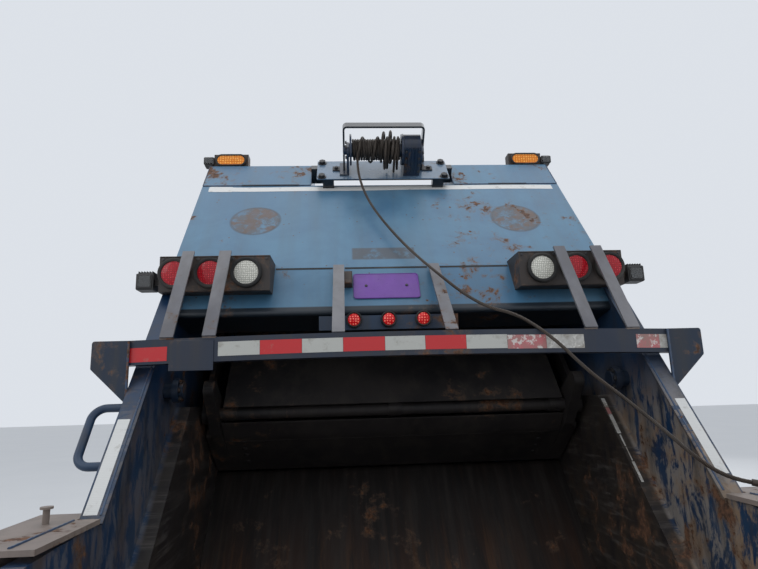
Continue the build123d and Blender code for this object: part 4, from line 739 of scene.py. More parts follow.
@dataclass(frozen=True)
class Paint:
    """Painted or bare steel with fading, run-down streaks, grime, rust and some painted shade."""

    deep: Triple
    pale: Triple
    fade: float = 0.5
    rust: float = 0.3
    grime: float = 0.3
    rough: float = 0.4
    metal: float = 0.0
    coat: float = 0.0
    rust_scale: float = 9.0
    streak: Triple = (14.0, 14.0, 1.2)
    # which surface's extra wear and painted shade it gets
    wear: WearAndShade = WearAndShade.NONE
    shine: float = 0.5

    def paint(self, t: Tree) -> None:
        """Build the nodes.

        Args:
            t: the material's nodes.
        """
        patch = t.noise(2.3, 5.0, 0.6, bend=0.4)
        run = t.noise(1.0, 5.0, 0.65, stretch=self.streak)
        fine = t.noise(60.0, 3.0, 0.6)
        fade = t.mul(t.step(patch, 0.35, 0.7), self.fade, True)
        fade = t.plus(fade, t.mul(t.step(run, 0.45, 0.75), 0.35 * self.fade), True)
        colour = t.mix(fade, self.deep, self.pale)
        grime = t.mul(t.step(run, 0.42, 0.68), self.grime)
        spots = t.noise(self.rust_scale, 8.0, 0.68, bend=0.25)
        where = t.step(t.noise(1.7, 3.0, 0.5), 0.36, 0.66)
        level = t.plus(spots, t.mul(t.plus(where, -0.5), 0.22))
        level = t.plus(level, t.mul(t.plus(run, -0.5), 0.25))
        level = self._local(t, level)
        edge = 0.86 - 0.45 * self.rust
        halo = t.step(level, edge - 0.09, edge + 0.01)
        core = t.step(level, edge - 0.015, edge + 0.025)
        colour = self._marks_and_shade(t, colour)
        colour = t.mix(grime, colour, GRIME)
        colour = t.mix(t.mul(halo, 0.5), colour, RUST_HALO)
        rust = t.mix(t.step(fine, 0.35, 0.7), RUST_DEEP, RUST_PALE)
        colour = t.mix(core, colour, rust)
        rough = t.step(patch, 0.3, 0.8, (self.rough - 0.07, self.rough + 0.12))
        rough = t.plus(rough, t.mul(core, 0.4), True)
        skin = t.bump(t.noise(140.0, 2.0), 0.06, 0.0006)
        pits = t.bump(t.plus(t.mul(core, -0.6), t.mul(fine, core)), 0.5, 0.0016, skin)
        t.feed(
            Base_Color=colour, Roughness=rough, Metallic=self.metal, Coat_Weight=self.coat,
            Coat_Roughness=0.12, Specular_IOR_Level=self.shine, Normal=pits)

    def _local(self, t: Tree, level: Any) -> Any:
        """Add rust where this surface has more of it.

        Args:
            t: the material's nodes.
            level: how near each place is to rusting.

        Returns:
            The new level.
        """
        if self.wear is WearAndShade.SLOPE:
            dots = t.step(t.cells(13.0), 0.06, 0.14, (0.13, 0.0))
            level = t.plus(level, t.mul(dots, t.step(t.noise(3.1, 4.0), 0.38, 0.55)))
            level = t.plus(level, t.mul(t.band(t.along(2), 2.88, 3.06, 0.02), 0.05))
            level = t.plus(level, t.mul(t.band(t.along(2), 2.27, 2.31, 0.02), 0.05))
        if self.wear is WearAndShade.MOUTH:
            reach = t.band(t.along(2), 0.8, 1.78, 0.25)
            level = t.plus(level, t.mul(reach, 0.06))
        return level

    def _marks_and_shade(self, t: Tree, colour: Any) -> Any:
        """Blend in the rubbed patches and scrapes that belong to one surface, and its painted shade.

        Args:
            t: the material's nodes.
            colour: the colour so far.

        Returns:
            The marked colour.
        """
        if self.wear is WearAndShade.SLOPE:
            disc = t.spot(*DISC_AT, 0.121, 0.006)
            ring = t.minus(t.spot(*DISC_AT, 0.128, 0.004), t.spot(*DISC_AT, 0.115, 0.004))
            worn = t.mul(disc, t.step(t.noise(22.0, 6.0, 0.7), 0.34, 0.58))
            colour = t.mix(t.mul(worn, 0.85), colour, (0.07, 0.068, 0.074))
            stain = t.mul(disc, t.step(t.noise(15.0, 7.0, 0.72, bend=0.4), 0.47, 0.56))
            colour = t.mix(t.mul(stain, 0.75), colour, (0.105, 0.055, 0.034))
            colour = t.mix(t.mul(ring, 0.5), colour, (0.03, 0.03, 0.036))
            colour = t.mix(t.step(t.cells(16.0), 0.04, 0.085, (0.85, 0.0)), colour, (0.095, 0.05, 0.032))
            x, z = t.along(0), t.along(2)
            rub = t.mul(t.band(x, -0.183, 0.109, 0.006), t.band(z, 2.337, 2.406, 0.005))
            rub = t.mul(rub, t.step(t.noise(18.0, 6.0, 0.7), 0.28, 0.5))
            colour = t.mix(t.mul(rub, 0.8), colour, (0.062, 0.056, 0.058))
            # Painted shade: below z 2.093 the apron's lowest band goes near black, for the shadow under
            # its folded lower edge
            under = t.step(z, 2.093, 2.099, (0.94, 0.0))
            colour = t.mix(under, colour, (0.006, 0.008, 0.012))
        if self.wear is WearAndShade.MOUTH:
            scrape = t.noise(1.0, 8.0, 0.74, stretch=(3.0, 17.0, 6.5), bend=0.5)
            scrape = t.plus(scrape, t.step(t.along(0), -0.3, 0.3, (0.0, 0.03)))
            low = t.band(t.along(2), 0.7, 1.72, 0.2)
            across = t.along(0, True)
            low = t.mul(low, t.step(across, 0.976, 0.984, (1.0, 0.2)))
            low = t.mul(low, t.step(t.along(0), -0.3, 0.3, (0.36, 1.0)))
            bare = t.mul(t.step(scrape, 0.46, 0.54), low)
            bright = t.mix(
                t.step(t.noise(9.0, 5.0, 0.7), 0.4, 0.62), (0.265, 0.235, 0.205), (0.285, 0.195, 0.12))
            colour = t.mix(t.mul(bare, 0.85), colour, bright)
            lining = t.step(across, 0.905, 0.925, (0.93, 0.0))
            scratch = t.noise(1.0, 7.0, 0.72, stretch=(1.0, 3.0, 34.0), bend=0.3)
            steel = t.mix(t.step(scratch, 0.5, 0.64), (0.022, 0.017, 0.014), (0.08, 0.07, 0.062))
            colour = t.mix(lining, colour, steel)
        if self.wear is WearAndShade.PLATE:
            # Painted shade: every face of the winch plate but its flat top goes near black
            above = t.plus(t.mul(t.along(1), SLOPE_OUT[1]), t.mul(t.along(2), SLOPE_OUT[2]))
            flat = t.band(t.minus(above, float(WINCH_TOP @ SLOPE_OUT)), -0.004, 0.004, 0.002)
            colour = t.mix(flat, (0.01, 0.013, 0.018), colour)
        if self.wear is WearAndShade.FLOOR:
            stain = t.noise(1.0, 6.0, 0.7, stretch=(15.0, 1.3, 1.3), bend=0.5)
            colour = t.mix(t.step(stain, 0.4, 0.6), colour, (0.04, 0.017, 0.009))
            other = t.noise(1.0, 6.0, 0.72, stretch=(21.0, 1.6, 1.6), bend=0.4)
            colour = t.mix(t.mul(t.step(other, 0.52, 0.64), 0.8), colour, (0.088, 0.038, 0.015))
            worn = t.mul(t.step(stain, 0.56, 0.72), t.step(t.along(2), 1.02, 1.25, (0.3, 0.7)))
            colour = t.mix(worn, colour, (0.086, 0.07, 0.062))
            # Painted shade: from z 0.85 to 1.25 the floor darkens to near black, deep inside the hopper
            # where little light reaches
            colour = t.mix(t.step(t.along(2), 0.85, 1.25, (0.0, 0.88)), colour, (0.006, 0.005, 0.005))
        return colour


@dataclass(frozen=True)
class Plain:
    """Rubber, plastic, cloth or metal with a fine surface and a little dust."""

    colour: Triple
    rough: float = 0.6
    metal: float = 0.0
    grain: float = 220.0
    depth: float = 0.15
    dust: float = 0.2
    dust_colour: Triple = (0.24, 0.2, 0.16)
    stretch: Triple | None = None

    def paint(self, t: Tree) -> None:
        """Build the nodes.

        Args:
            t: the material's nodes.
        """
        settle = t.mul(t.step(t.noise(5.0, 6.0, 0.65), 0.4, 0.75), self.dust)
        shade = t.mix(
            t.step(t.noise(9.0, 3.0), 0.3, 0.7), tuple(c * 0.78 for c in self.colour), self.colour)
        grain = t.noise(self.grain, 3.0, 0.6, stretch=self.stretch)
        t.feed(
            Base_Color=t.mix(settle, shade, self.dust_colour), Metallic=self.metal,
            Roughness=t.step(grain, 0.2, 0.8, (self.rough - 0.06, self.rough + 0.08)),
            Normal=t.bump(grain, self.depth, 0.0006))


@dataclass(frozen=True)
class Woven:
    """Woven cover cloth of seat cushions."""

    colour: Triple

    def paint(self, t: Tree) -> None:
        """Build the nodes.

        Args:
            t: the material's nodes.
        """
        warp, weft = (
            t.node(
                "TexWave", {"bands_direction": way}, Vector=t.coords, Scale=190.0,
                Distortion=0.6).outputs[1] for way in "XY")
        weave = t.mul(warp, weft)
        worn = t.step(t.noise(6.0, 5.0), 0.35, 0.7)
        colour = t.mix(worn, self.colour, tuple(c * 1.7 for c in self.colour))
        t.feed(
            Base_Color=t.mix(t.mul(weave, 0.35), colour, (0.02, 0.02, 0.022)), Roughness=0.85,
            Sheen_Weight=0.3, Normal=t.bump(weave, 0.4, 0.0008))


@dataclass(frozen=True)
class Lens:
    """Moulded lamp lens with a row or a field of light sources behind it."""

    colour: Triple
    glow: Triple
    pitch: float = 95.0
    dot: float = 0.25
    strength: float = 0.0

    def paint(self, t: Tree) -> None:
        """Build the nodes.

        Args:
            t: the material's nodes.
        """
        seen = (1.0, 0.0, 1.0)
        cell = t.cells(self.pitch, stretch=seen, jitter=0.25)
        dots = t.step(cell, self.dot * 0.5, self.dot, (1.0, 0.0))
        rim = t.cells(self.pitch, "DISTANCE_TO_EDGE", seen, 0.25)
        ridge = t.step(rim, 0.0, 0.16)
        colour = t.mix(ridge, tuple(c * 0.55 for c in self.colour), self.colour)
        colour = t.mix(t.mul(dots, 0.8), colour, self.glow)
        t.feed(
            Base_Color=colour, Roughness=0.12, Coat_Weight=0.3, Coat_Roughness=0.03,
            Specular_IOR_Level=0.3, Emission_Color=t.mix(dots, self.colour, self.glow),
            Emission_Strength=self.strength, Normal=t.bump(ridge, 0.35, 0.0012))


@dataclass(frozen=True)
class Glass:
    """Clear or tinted glass."""

    tint: Triple
    rough: float = 0.02
    through: float = 0.92

    def paint(self, t: Tree) -> None:
        """Build the nodes.

        Args:
            t: the material's nodes.
        """
        haze = t.step(t.noise(3.0, 6.0, 0.7), 0.5, 0.8)
        t.feed(
            Base_Color=t.mix(t.mul(haze, 0.25), self.tint, (0.5, 0.5, 0.48)),
            Transmission_Weight=self.through, IOR=1.5, Roughness=t.plus(t.mul(haze, 0.12), self.rough))


@dataclass(frozen=True)
class Tape:
    """Reflective sheeting with its sealed cells, scuffs and dirt."""

    colour: Triple
    wear: float = 0.2

    def paint(self, t: Tree) -> None:
        """Build the nodes.

        Args:
            t: the material's nodes.
        """
        cell = t.step(t.cells(260.0, "DISTANCE_TO_EDGE", (1.0, 1.0, 1.0), 0.0), 0.02, 0.12)
        colour = t.mix(cell, tuple(c * 0.88 for c in self.colour), self.colour)
        dirt = t.step(t.noise(1.0, 7.0, 0.7, stretch=(22.0, 22.0, 22.0)), 0.62 - 0.35 * self.wear, 0.75)
        colour = t.mix(t.mul(dirt, min(1.0, 0.4 + self.wear)), colour, (0.22, 0.19, 0.15))
        flake = t.step(t.noise(34.0, 6.0, 0.7), 0.72 - 0.22 * self.wear, 0.76 - 0.22 * self.wear)
        colour = t.mix(t.mul(flake, 0.8), colour, (0.66, 0.64, 0.6))
        seal = t.bump(cell, 0.12, 0.0004)
        t.feed(Base_Color=colour, Roughness=0.34, Coat_Weight=0.35, Coat_Roughness=0.15, Normal=seal)


@dataclass(eq=False)
class Finish:
    """A named material, made once, with the record's slot that it stands for."""

    name: str
    slot: str
    look: Any

    @cached_property
    def material(self) -> bpy.types.Material:
        """Material of the finish, made the first time it is asked for.

        Returns:
            The finish's one material.
        """
        tree = Tree(self.name)
        self.look.paint(tree)
        return tree.material


BLUE = (0.016, 0.055, 0.145)
BLUE_PALE = (0.075, 0.19, 0.36)
# The slope's blue, paler than the tailgate's other paint, is partly faded paint and partly a painted
# sheen of the sky
SLOPE_PAINT_AND_SHEEN = Finish("slope_paint_and_sheen", "blue_paint", Paint(
    (0.052, 0.146, 0.252), (0.108, 0.24, 0.355), 0.75, 0.36, 0.2, 0.42, streak=(9.0, 0.8, 0.8),
    rust_scale=12.0, coat=0.06, wear=WearAndShade.SLOPE))
TAIL_BLUE = Finish(
    "tail_paint", "blue_paint", Paint((0.01, 0.032, 0.075), (0.034, 0.07, 0.125), 0.5, 0.44, 0.5, 0.44))
WING_PAINT = Finish("wing_paint", "blue_paint", Paint(
    (0.007, 0.018, 0.04), (0.02, 0.036, 0.062), 0.5, 0.3, 0.5, 0.46, rust_scale=16.0))
MOUTH_PAINT = Finish("mouth_side_paint", "blue_paint", Paint(
    (0.008, 0.032, 0.082), (0.034, 0.068, 0.12), 0.5, 0.32, 0.6, 0.42, streak=(12.0, 12.0, 2.4),
    wear=WearAndShade.MOUTH))
BODY_BLUE = Finish("body_paint", "blue_paint", Paint(BLUE, BLUE_PALE, 0.45, 0.3, 0.25, 0.36, coat=0.2))
BEAM_PAINT = Finish(
    "beam_paint", "grey_steel", Paint((0.014, 0.023, 0.045), (0.045, 0.052, 0.065), 0.5, 0.4, 0.4, 0.45))
BAR_STEEL = Finish("bar_steel", "grey_steel", Paint(
    (0.12, 0.12, 0.135), (0.27, 0.265, 0.27), 0.7, 0.42, 0.3, 0.5, 0.25, rust_scale=16.0))
EAR_STEEL = Finish(
    "ear_steel", "grey_steel", Paint((0.19, 0.15, 0.13), (0.3, 0.25, 0.21), 0.7, 0.62, 0.3, 0.6))
# Hopper and packer colours: partly their dark rusty steel, partly painted shade of the hopper's inside,
# where little light reaches
HOPPER_RUST_AND_SHADE = Finish("hopper_rust_and_shade", "hopper_steel", Paint(
    (0.012, 0.008, 0.0065), (0.028, 0.018, 0.014), 0.7, 0.34, 0.5, 0.6, streak=(18.0, 1.6, 1.6),
    wear=WearAndShade.FLOOR, shine=0.3))
PACKER_RUST_AND_SHADE = Finish("packer_rust_and_shade", "hopper_steel", Paint(
    (0.012, 0.011, 0.012), (0.034, 0.028, 0.026), 0.6, 0.4, 0.6, 0.62, streak=(12.0, 12.0, 1.5),
    shine=0.3))
LAMP_BOX = Finish("lamp_box_rust", "lamp_box", Paint(
    (0.03, 0.024, 0.022), (0.065, 0.045, 0.035), 0.6, 0.56, 0.4, 0.55, rust_scale=14.0))
WINCH_PAINT = Finish("winch_paint", "winch_metal", Paint(
    (0.008, 0.02, 0.05), (0.03, 0.055, 0.1), 0.5, 0.3, 0.5, 0.34, coat=0.2, rust_scale=20.0))
# The winch plate's faces other than its flat top get painted shade
WINCH_PLATE = Finish("winch_plate_paint", "winch_metal", Paint(
    (0.08, 0.15, 0.24), (0.19, 0.26, 0.34), 0.6, 0.34, 0.35, 0.26, coat=0.3, rust_scale=16.0,
    wear=WearAndShade.PLATE))
CHASSIS = Finish("chassis_black", "chassis_black", Paint(
    (0.012, 0.012, 0.013), (0.04, 0.038, 0.036), 0.5, 0.4, 0.4, 0.5))
CAB_WHITE = Finish("cab_white", "cab_white", Paint(
    (0.62, 0.63, 0.64), (0.74, 0.745, 0.74), 0.5, 0.14, 0.12, 0.22, coat=0.6))
RIM_WHITE = Finish(
    "rim_white", "rim_white", Paint((0.42, 0.42, 0.41), (0.56, 0.55, 0.53), 0.5, 0.36, 0.4, 0.45))
BLACK = Finish("black_plastic", "black_plastic", Plain((0.022, 0.022, 0.023), 0.5, dust=0.12))
RUBBER = Finish("black_rubber", "rubber", Plain((0.018, 0.018, 0.018), 0.72, grain=160.0, dust=0.2))
TYRE = Finish("tyre_rubber", "tyre", Plain(
    (0.022, 0.022, 0.023), 0.78, grain=110.0, depth=0.25, dust=0.5, dust_colour=(0.1, 0.088, 0.075)))
CHROME = Finish("chrome", "chrome", Plain((0.62, 0.62, 0.63), 0.14, 1.0, 40.0, 0.02, 0.1))
ALLOY = Finish("tank_alloy", "tank_alloy", Plain(
    (0.56, 0.57, 0.58), 0.3, 1.0, 30.0, 0.05, 0.15, stretch=(1.0, 12.0, 12.0)))
BOLT_STEEL = Finish("bolt_steel", "grey_steel", Paint(
    (0.05, 0.05, 0.055), (0.14, 0.135, 0.13), 0.6, 0.5, 0.3, 0.45, 0.6, rust_scale=40.0))
BOLT_BLACK = Finish("bolt_black", "chassis_black", Plain((0.02, 0.02, 0.024), 0.4, 0.3, dust=0.15))
WELD_BLUE = Finish("weld_bead", "blue_paint", Paint(
    (0.03, 0.06, 0.12), (0.09, 0.13, 0.2), 0.6, 0.5, 0.4, 0.5, rust_scale=40.0))
ROPE = Finish("wire_rope", "wire_rope", Plain(
    (0.075, 0.062, 0.052), 0.46, 0.55, 300.0, 0.3, 0.35, (0.09, 0.055, 0.035)))
RED_LENS = Finish("red_lens", "red_lens", Lens((0.38, 0.002, 0.01), (0.95, 0.1, 0.12), 105.0, 0.22, 0.1))
MARKER_LENS = Finish(
    "marker_lens", "red_lens", Lens((0.6, 0.006, 0.01), (1.0, 0.28, 0.2), 90.0, 0.35, 0.28))
CLEAR_LENS = Finish(
    "clear_lens", "clear_lens", Lens((0.55, 0.54, 0.47), (0.95, 0.94, 0.86), 125.0, 0.42, 0.05))
AMBER_LENS = Finish(
    "amber_lens", "amber_lens", Lens((0.78, 0.22, 0.01), (1.0, 0.55, 0.12), 70.0, 0.35, 0.16))
HEAD_LENS = Finish("head_lens", "clear_lens", Lens((0.5, 0.52, 0.54), (0.8, 0.82, 0.84), 60.0, 0.3))
CAB_GLASS = Finish("cab_glass", "glass", Glass((0.72, 0.8, 0.79)))
LAMP_GLASS = Finish("lamp_glass", "glass", Glass((0.9, 0.92, 0.92)))
MIRROR = Finish("mirror_glass", "chrome", Plain((0.75, 0.77, 0.78), 0.05, 1.0, 20.0, 0.0, 0.05))
VINYL = Finish("seat_vinyl", "seat_vinyl", Woven((0.035, 0.037, 0.042)))
TRIM = Finish("dash_trim", "black_plastic", Plain((0.04, 0.041, 0.043), 0.65, grain=260.0, depth=0.3))
RED_TAPE = Finish("red_tape", "red_lens", Tape((0.56, 0.01, 0.014), 0.12))
WHITE_TAPE = Finish("white_tape", "clear_lens", Tape((0.5, 0.5, 0.46), 0.3))
FADED_TAPE = Finish("faded_tape", "red_lens", Tape((0.52, 0.14, 0.15), 0.85))
WORN_TAPE = Finish("worn_white_tape", "clear_lens", Tape((0.52, 0.51, 0.48), 0.75))
STRIPE = Finish("stripe_tape", "clear_lens", Tape((0.66, 0.66, 0.64), 0.2))
PLATE = Finish("blank_plate", "black_plastic", Plain(
    (0.16, 0.05, 0.33), 0.32, grain=60.0, depth=0.03, dust=0.1, dust_colour=(0.5, 0.42, 0.6)))

NODE_FINISHES = {
    TAIL_BLUE: ("grab_handles", "tail_fittings"),
    WING_PAINT: ("beam_wings",),
    SLOPE_PAINT_AND_SHEEN: ("tail_top",),
    MOUTH_PAINT: ("tail_sides",),
    BODY_BLUE: ("body_sides", "body_roof", "body_bulkhead", "lift_barrels"),
    BEAM_PAINT: ("tail_beam",),
    BAR_STEEL: ("guard_bars",),
    EAR_STEEL: ("container_ears",),
    HOPPER_RUST_AND_SHADE: ("hopper_floor", "body_floor", "ejector_panel"),
    PACKER_RUST_AND_SHADE: ("packer_slide", "packer_blade"),
    LAMP_BOX: ("lamp_housings",),
    WINCH_PAINT: ("winch",),
    WINCH_PLATE: ("winch_base",),
    CHASSIS: ("frame_rails", "front_axle", "rear_axle", "power_unit", "bumper", "battery_box",
              "knuckle_right", "knuckle_left"),
    CAB_WHITE: ("cab_shell", "door_right", "door_left", "hood"),
    RIM_WHITE: ("front_rim_right", "front_rim_left", "rear_rims_right", "rear_rims_left"),
    BLACK: ("mirrors", "grille"),
    RUBBER: ("mud_flaps",),
    CHROME: ("lift_rods", "exhaust_stack"),
    ALLOY: ("fuel_tank",),
    ROPE: ("rope_hook", "rope_coil", "rope_run"),
    RED_LENS: ("red_lamps",),
    CLEAR_LENS: ("clear_lamps",),
    AMBER_LENS: ("amber_lamps",),
    HEAD_LENS: ("headlamps",),
    CAB_GLASS: ("cab_glass", "door_glass_right", "door_glass_left"),
    TRIM: ("cab_inside",),
}


def dress_nodes(frame: dict[str, Any]) -> None:
    """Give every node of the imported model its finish.

    Args:
        frame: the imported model's nodes, as the loader gives them.
    """
    for finish, names in NODE_FINISHES.items():
        for name in names:
            for slot in frame["nodes"][name].material_slots:
                slot.material = finish.material


class Studio:
    """Pale floor, soft light and the camera at the photograph's viewpoint."""

    EYE = (-0.2127, -5.375, 1.7)
    YAW, PITCH, ROLL = 0.0586, radians(11.5), -0.0295
    LENS = 27.02

    def camera(self) -> None:
        """Create the camera."""
        ahead = np.array((sin(self.YAW), cos(self.YAW), 0.0))
        right = np.array((cos(self.YAW), -sin(self.YAW), 0.0))
        look = ahead * cos(self.PITCH) + Z * sin(self.PITCH)
        top = Z * cos(self.PITCH) - ahead * sin(self.PITCH)
        side = right * cos(self.ROLL) + top * sin(self.ROLL)
        top = top * cos(self.ROLL) - right * sin(self.ROLL)
        data = bpy.data.cameras.new("photo_camera")
        data.lens = self.LENS
        data.sensor_width = 36.0
        data.clip_end = 200.0
        camera = placed("photo_camera", data)
        camera.matrix_world = pose(np.column_stack((side, top, -look)), self.EYE)
        bpy.context.scene.camera = camera

    def lights(self) -> None:
        """Pale world and large soft lights."""
        world = bpy.data.worlds.new("studio")
        bpy.context.scene.world = world
        world.use_nodes = True
        ground = world.node_tree.nodes["Background"]
        ground.inputs["Color"].default_value = (0.8, 0.84, 0.9, 1.0)
        ground.inputs["Strength"].default_value = 0.9
        for name, place, aim, size, power in (
            ("sky", (0.0, -1.0, 9.0), (0.0, 0.0, 0.0), 9.0, 180.0),
            ("key", (-6.5, -8.0, 6.5), (0.0, -1.0, 1.6), 5.0, 110.0),
            ("front", (6.0, 9.5, 6.0), (0.0, 2.0, 1.2), 5.0, 200.0),
        ):
            data = bpy.data.lights.new(name, "AREA")
            data.size = size
            data.energy = power
            lamp = placed(name, data)
            lamp.matrix_world = pose(axes(np.subtract(place, aim)), place)

    def floor(self) -> None:
        """Wide pale floor under the wheels."""
        mesh = bpy.data.meshes.new("floor")
        corners = ((-60, -60), (60, -60), (60, 60), (-60, 60))
        mesh.from_pydata([(x, y, -0.001) for x, y in corners], [], [(0, 1, 2, 3)])
        tree = Tree("floor")
        tree.feed(
            Base_Color=tree.mix(tree.noise(0.6, 5.0), (0.6, 0.61, 0.62), (0.66, 0.665, 0.67)),
            Roughness=0.8)
        mesh.materials.append(tree.material)
        placed("floor", mesh)

    def build(self) -> None:
        """Build the whole studio."""
        self.camera()
        self.lights()
        self.floor()
        bpy.context.scene.view_settings.view_transform = "Standard"


ROPE_R = 0.0065
# Rope from the drum, down the slope, over the guard bar and the beam, to the right ear: x, y, z
ROPE_ROUTE = (
    (-0.142, -2.556, 2.983), (-0.141, -2.535, 2.9), (-0.124, -2.566, 2.806), (-0.092, -2.62, 2.7),
    (-0.048, -2.69, 2.598), (0.008, -2.77, 2.492), (0.066, -2.855, 2.392), (0.122, -2.94, 2.304),
    (0.182, -3.04, 2.214), (0.262, -3.104, 2.122), (0.35, -3.166, 2.048), (0.44, -3.236, 2.012),
    (0.534, -3.348, 1.908), (0.632, -3.396, 1.778), (0.726, -3.452, 1.682), (0.804, -3.508, 1.59),
    (0.868, -3.56, 1.504), (0.93, -3.622, 1.438), (0.99, -3.648, 1.427))
WINCH_TOP = slope_point(0.0, 2.92, 0.0603)
DRUM_AXIS = WINCH_TOP + SLOPE_UP * -0.012 + SLOPE_OUT * 0.125


@dataclass
class WinchRope:
    """Greasy wire rope: one wound layer, loose turns on it, and the run down to the right ear."""

    strands: int = 6
    lay_length: float = 0.085
    steps_per_turn: int = 16
    pitch: float = 0.0065
    # turn, x, radius of the turn, and how far its middle stands above the drum's
    turns: tuple[tuple[float, float, float, float], ...] = (
        (0.0, -0.164, 0.051, 0.0), (18.8, 0.087, 0.051, 0.0), (19.3, 0.078, 0.082, -0.02),
        (20.1, 0.074, 0.084, -0.021), (20.4, 0.06, 0.09, -0.028), (21.2, 0.053, 0.091, -0.028),
        (21.5, 0.04, 0.08, 0.017), (22.3, 0.033, 0.081, 0.018), (22.6, 0.02, 0.087, -0.025),
        (23.4, 0.013, 0.088, -0.025), (23.7, 0.002, 0.077, 0.015), (24.5, -0.007, 0.078, 0.015),
        (24.9, -0.022, 0.065, 0.0), (26.3, -0.136, 0.0645, 0.0))
    slant: float = 0.011

    def winding(self) -> list[Array]:
        """Control points of the turns: a loose one leans, and hangs or stands by its own rise.

        A quadratic curve touches the middle of each side of its control polygon, so the polygon's
        corners lie outside the wanted radius by one over the cosine of half a step.

        Returns:
            Control points from the drum's far end to where the rope leaves it.
        """
        first = np.asarray(ROPE_ROUTE[0]) - DRUM_AXIS
        leave = atan2(first[2], first[1])
        key = np.asarray(self.turns)
        count = int(round(key[-1, 0] * self.steps_per_turn))
        turn = np.arange(count) / self.steps_per_turn
        x, radius, rise = (np.interp(turn, key[:, 0], key[:, k]) for k in (1, 2, 3))
        angle = leave + (turn - key[-1, 0]) * 2 * pi
        loose = np.clip((radius - 0.066) / 0.012, 0, 1)
        x = x + self.slant * loose * np.sin(angle + 0.7)
        out = radius / cos(pi / self.steps_per_turn)
        y, z = DRUM_AXIS[1] + out * np.cos(angle), DRUM_AXIS[2] + out * np.sin(angle) + rise
        return list(np.column_stack((x, y, z)))

    def line(self) -> Array:
        """Points of the whole rope's smooth line, read from its NURBS spline.

        Returns:
            Points from the drum to the end fitting.
        """
        points = self.winding() + [np.asarray(p) for p in ROPE_ROUTE]
        curve = bpy.data.curves.new("rope_line", "CURVE")
        curve.dimensions = "3D"
        spline = curve.splines.new("NURBS")
        spline.points.add(len(points) - 1)
        for point, place in zip(spline.points, points):
            point.co = (*place, 1.0)
        spline.order_u = 3
        spline.use_endpoint_u = True
        spline.resolution_u = 5
        holder = placed("rope_line", curve)
        mesh = bpy.data.meshes.new_from_object(holder)
        line = np.array([v.co[:] for v in mesh.vertices])
        bpy.data.objects.remove(holder)
        bpy.data.curves.remove(curve)
        bpy.data.meshes.remove(mesh)
        return line

    def build(self) -> None:
        line = self.line()
        side, up = frames(line)
        step = np.linalg.norm(np.diff(line, axis=0), axis=1)
        run = np.concatenate(([0.0], np.cumsum(step)))
        even = np.linspace(0, run[-1], int(run[-1] / self.pitch))
        middle, side, up = (
            np.stack([np.interp(even, run, part[:, k]) for k in range(3)], -1)
            for part in (line, side, up))
        mesh = Mesh()
        strand = ROPE_R / 3
        for k in range(self.strands):
            phase = (2 * pi * (even / self.lay_length + k / self.strands))[:, None]
            spoke = side * np.cos(phase) + up * np.sin(phase)
            mesh.add(tube(middle + (ROPE_R - strand) * spoke, strand * 1.06, 5))
        rope = mesh.build("winch_rope", ROPE, "tailgate")
        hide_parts("rope_coil", "rope_run")


BEAM_Y = -3.3
BEAM_MID_Z = 1.889
BEAM_HALF = 1.03
BEAM_BOW_R = 37.13
LAMP_Z = 2.238
LENS_Y = -3.045
LAMP_XS = (-0.924, -0.777, -0.6275, 0.6275, 0.777, 0.924)
OUT_BACK = axes((0, -1, 0))


def beam_z(x: float) -> float:
    """Height of the bowed beam's middle line at x."""
    return BEAM_MID_Z + sqrt(BEAM_BOW_R ** 2 - x * x) - sqrt(BEAM_BOW_R ** 2 - BEAM_HALF ** 2)


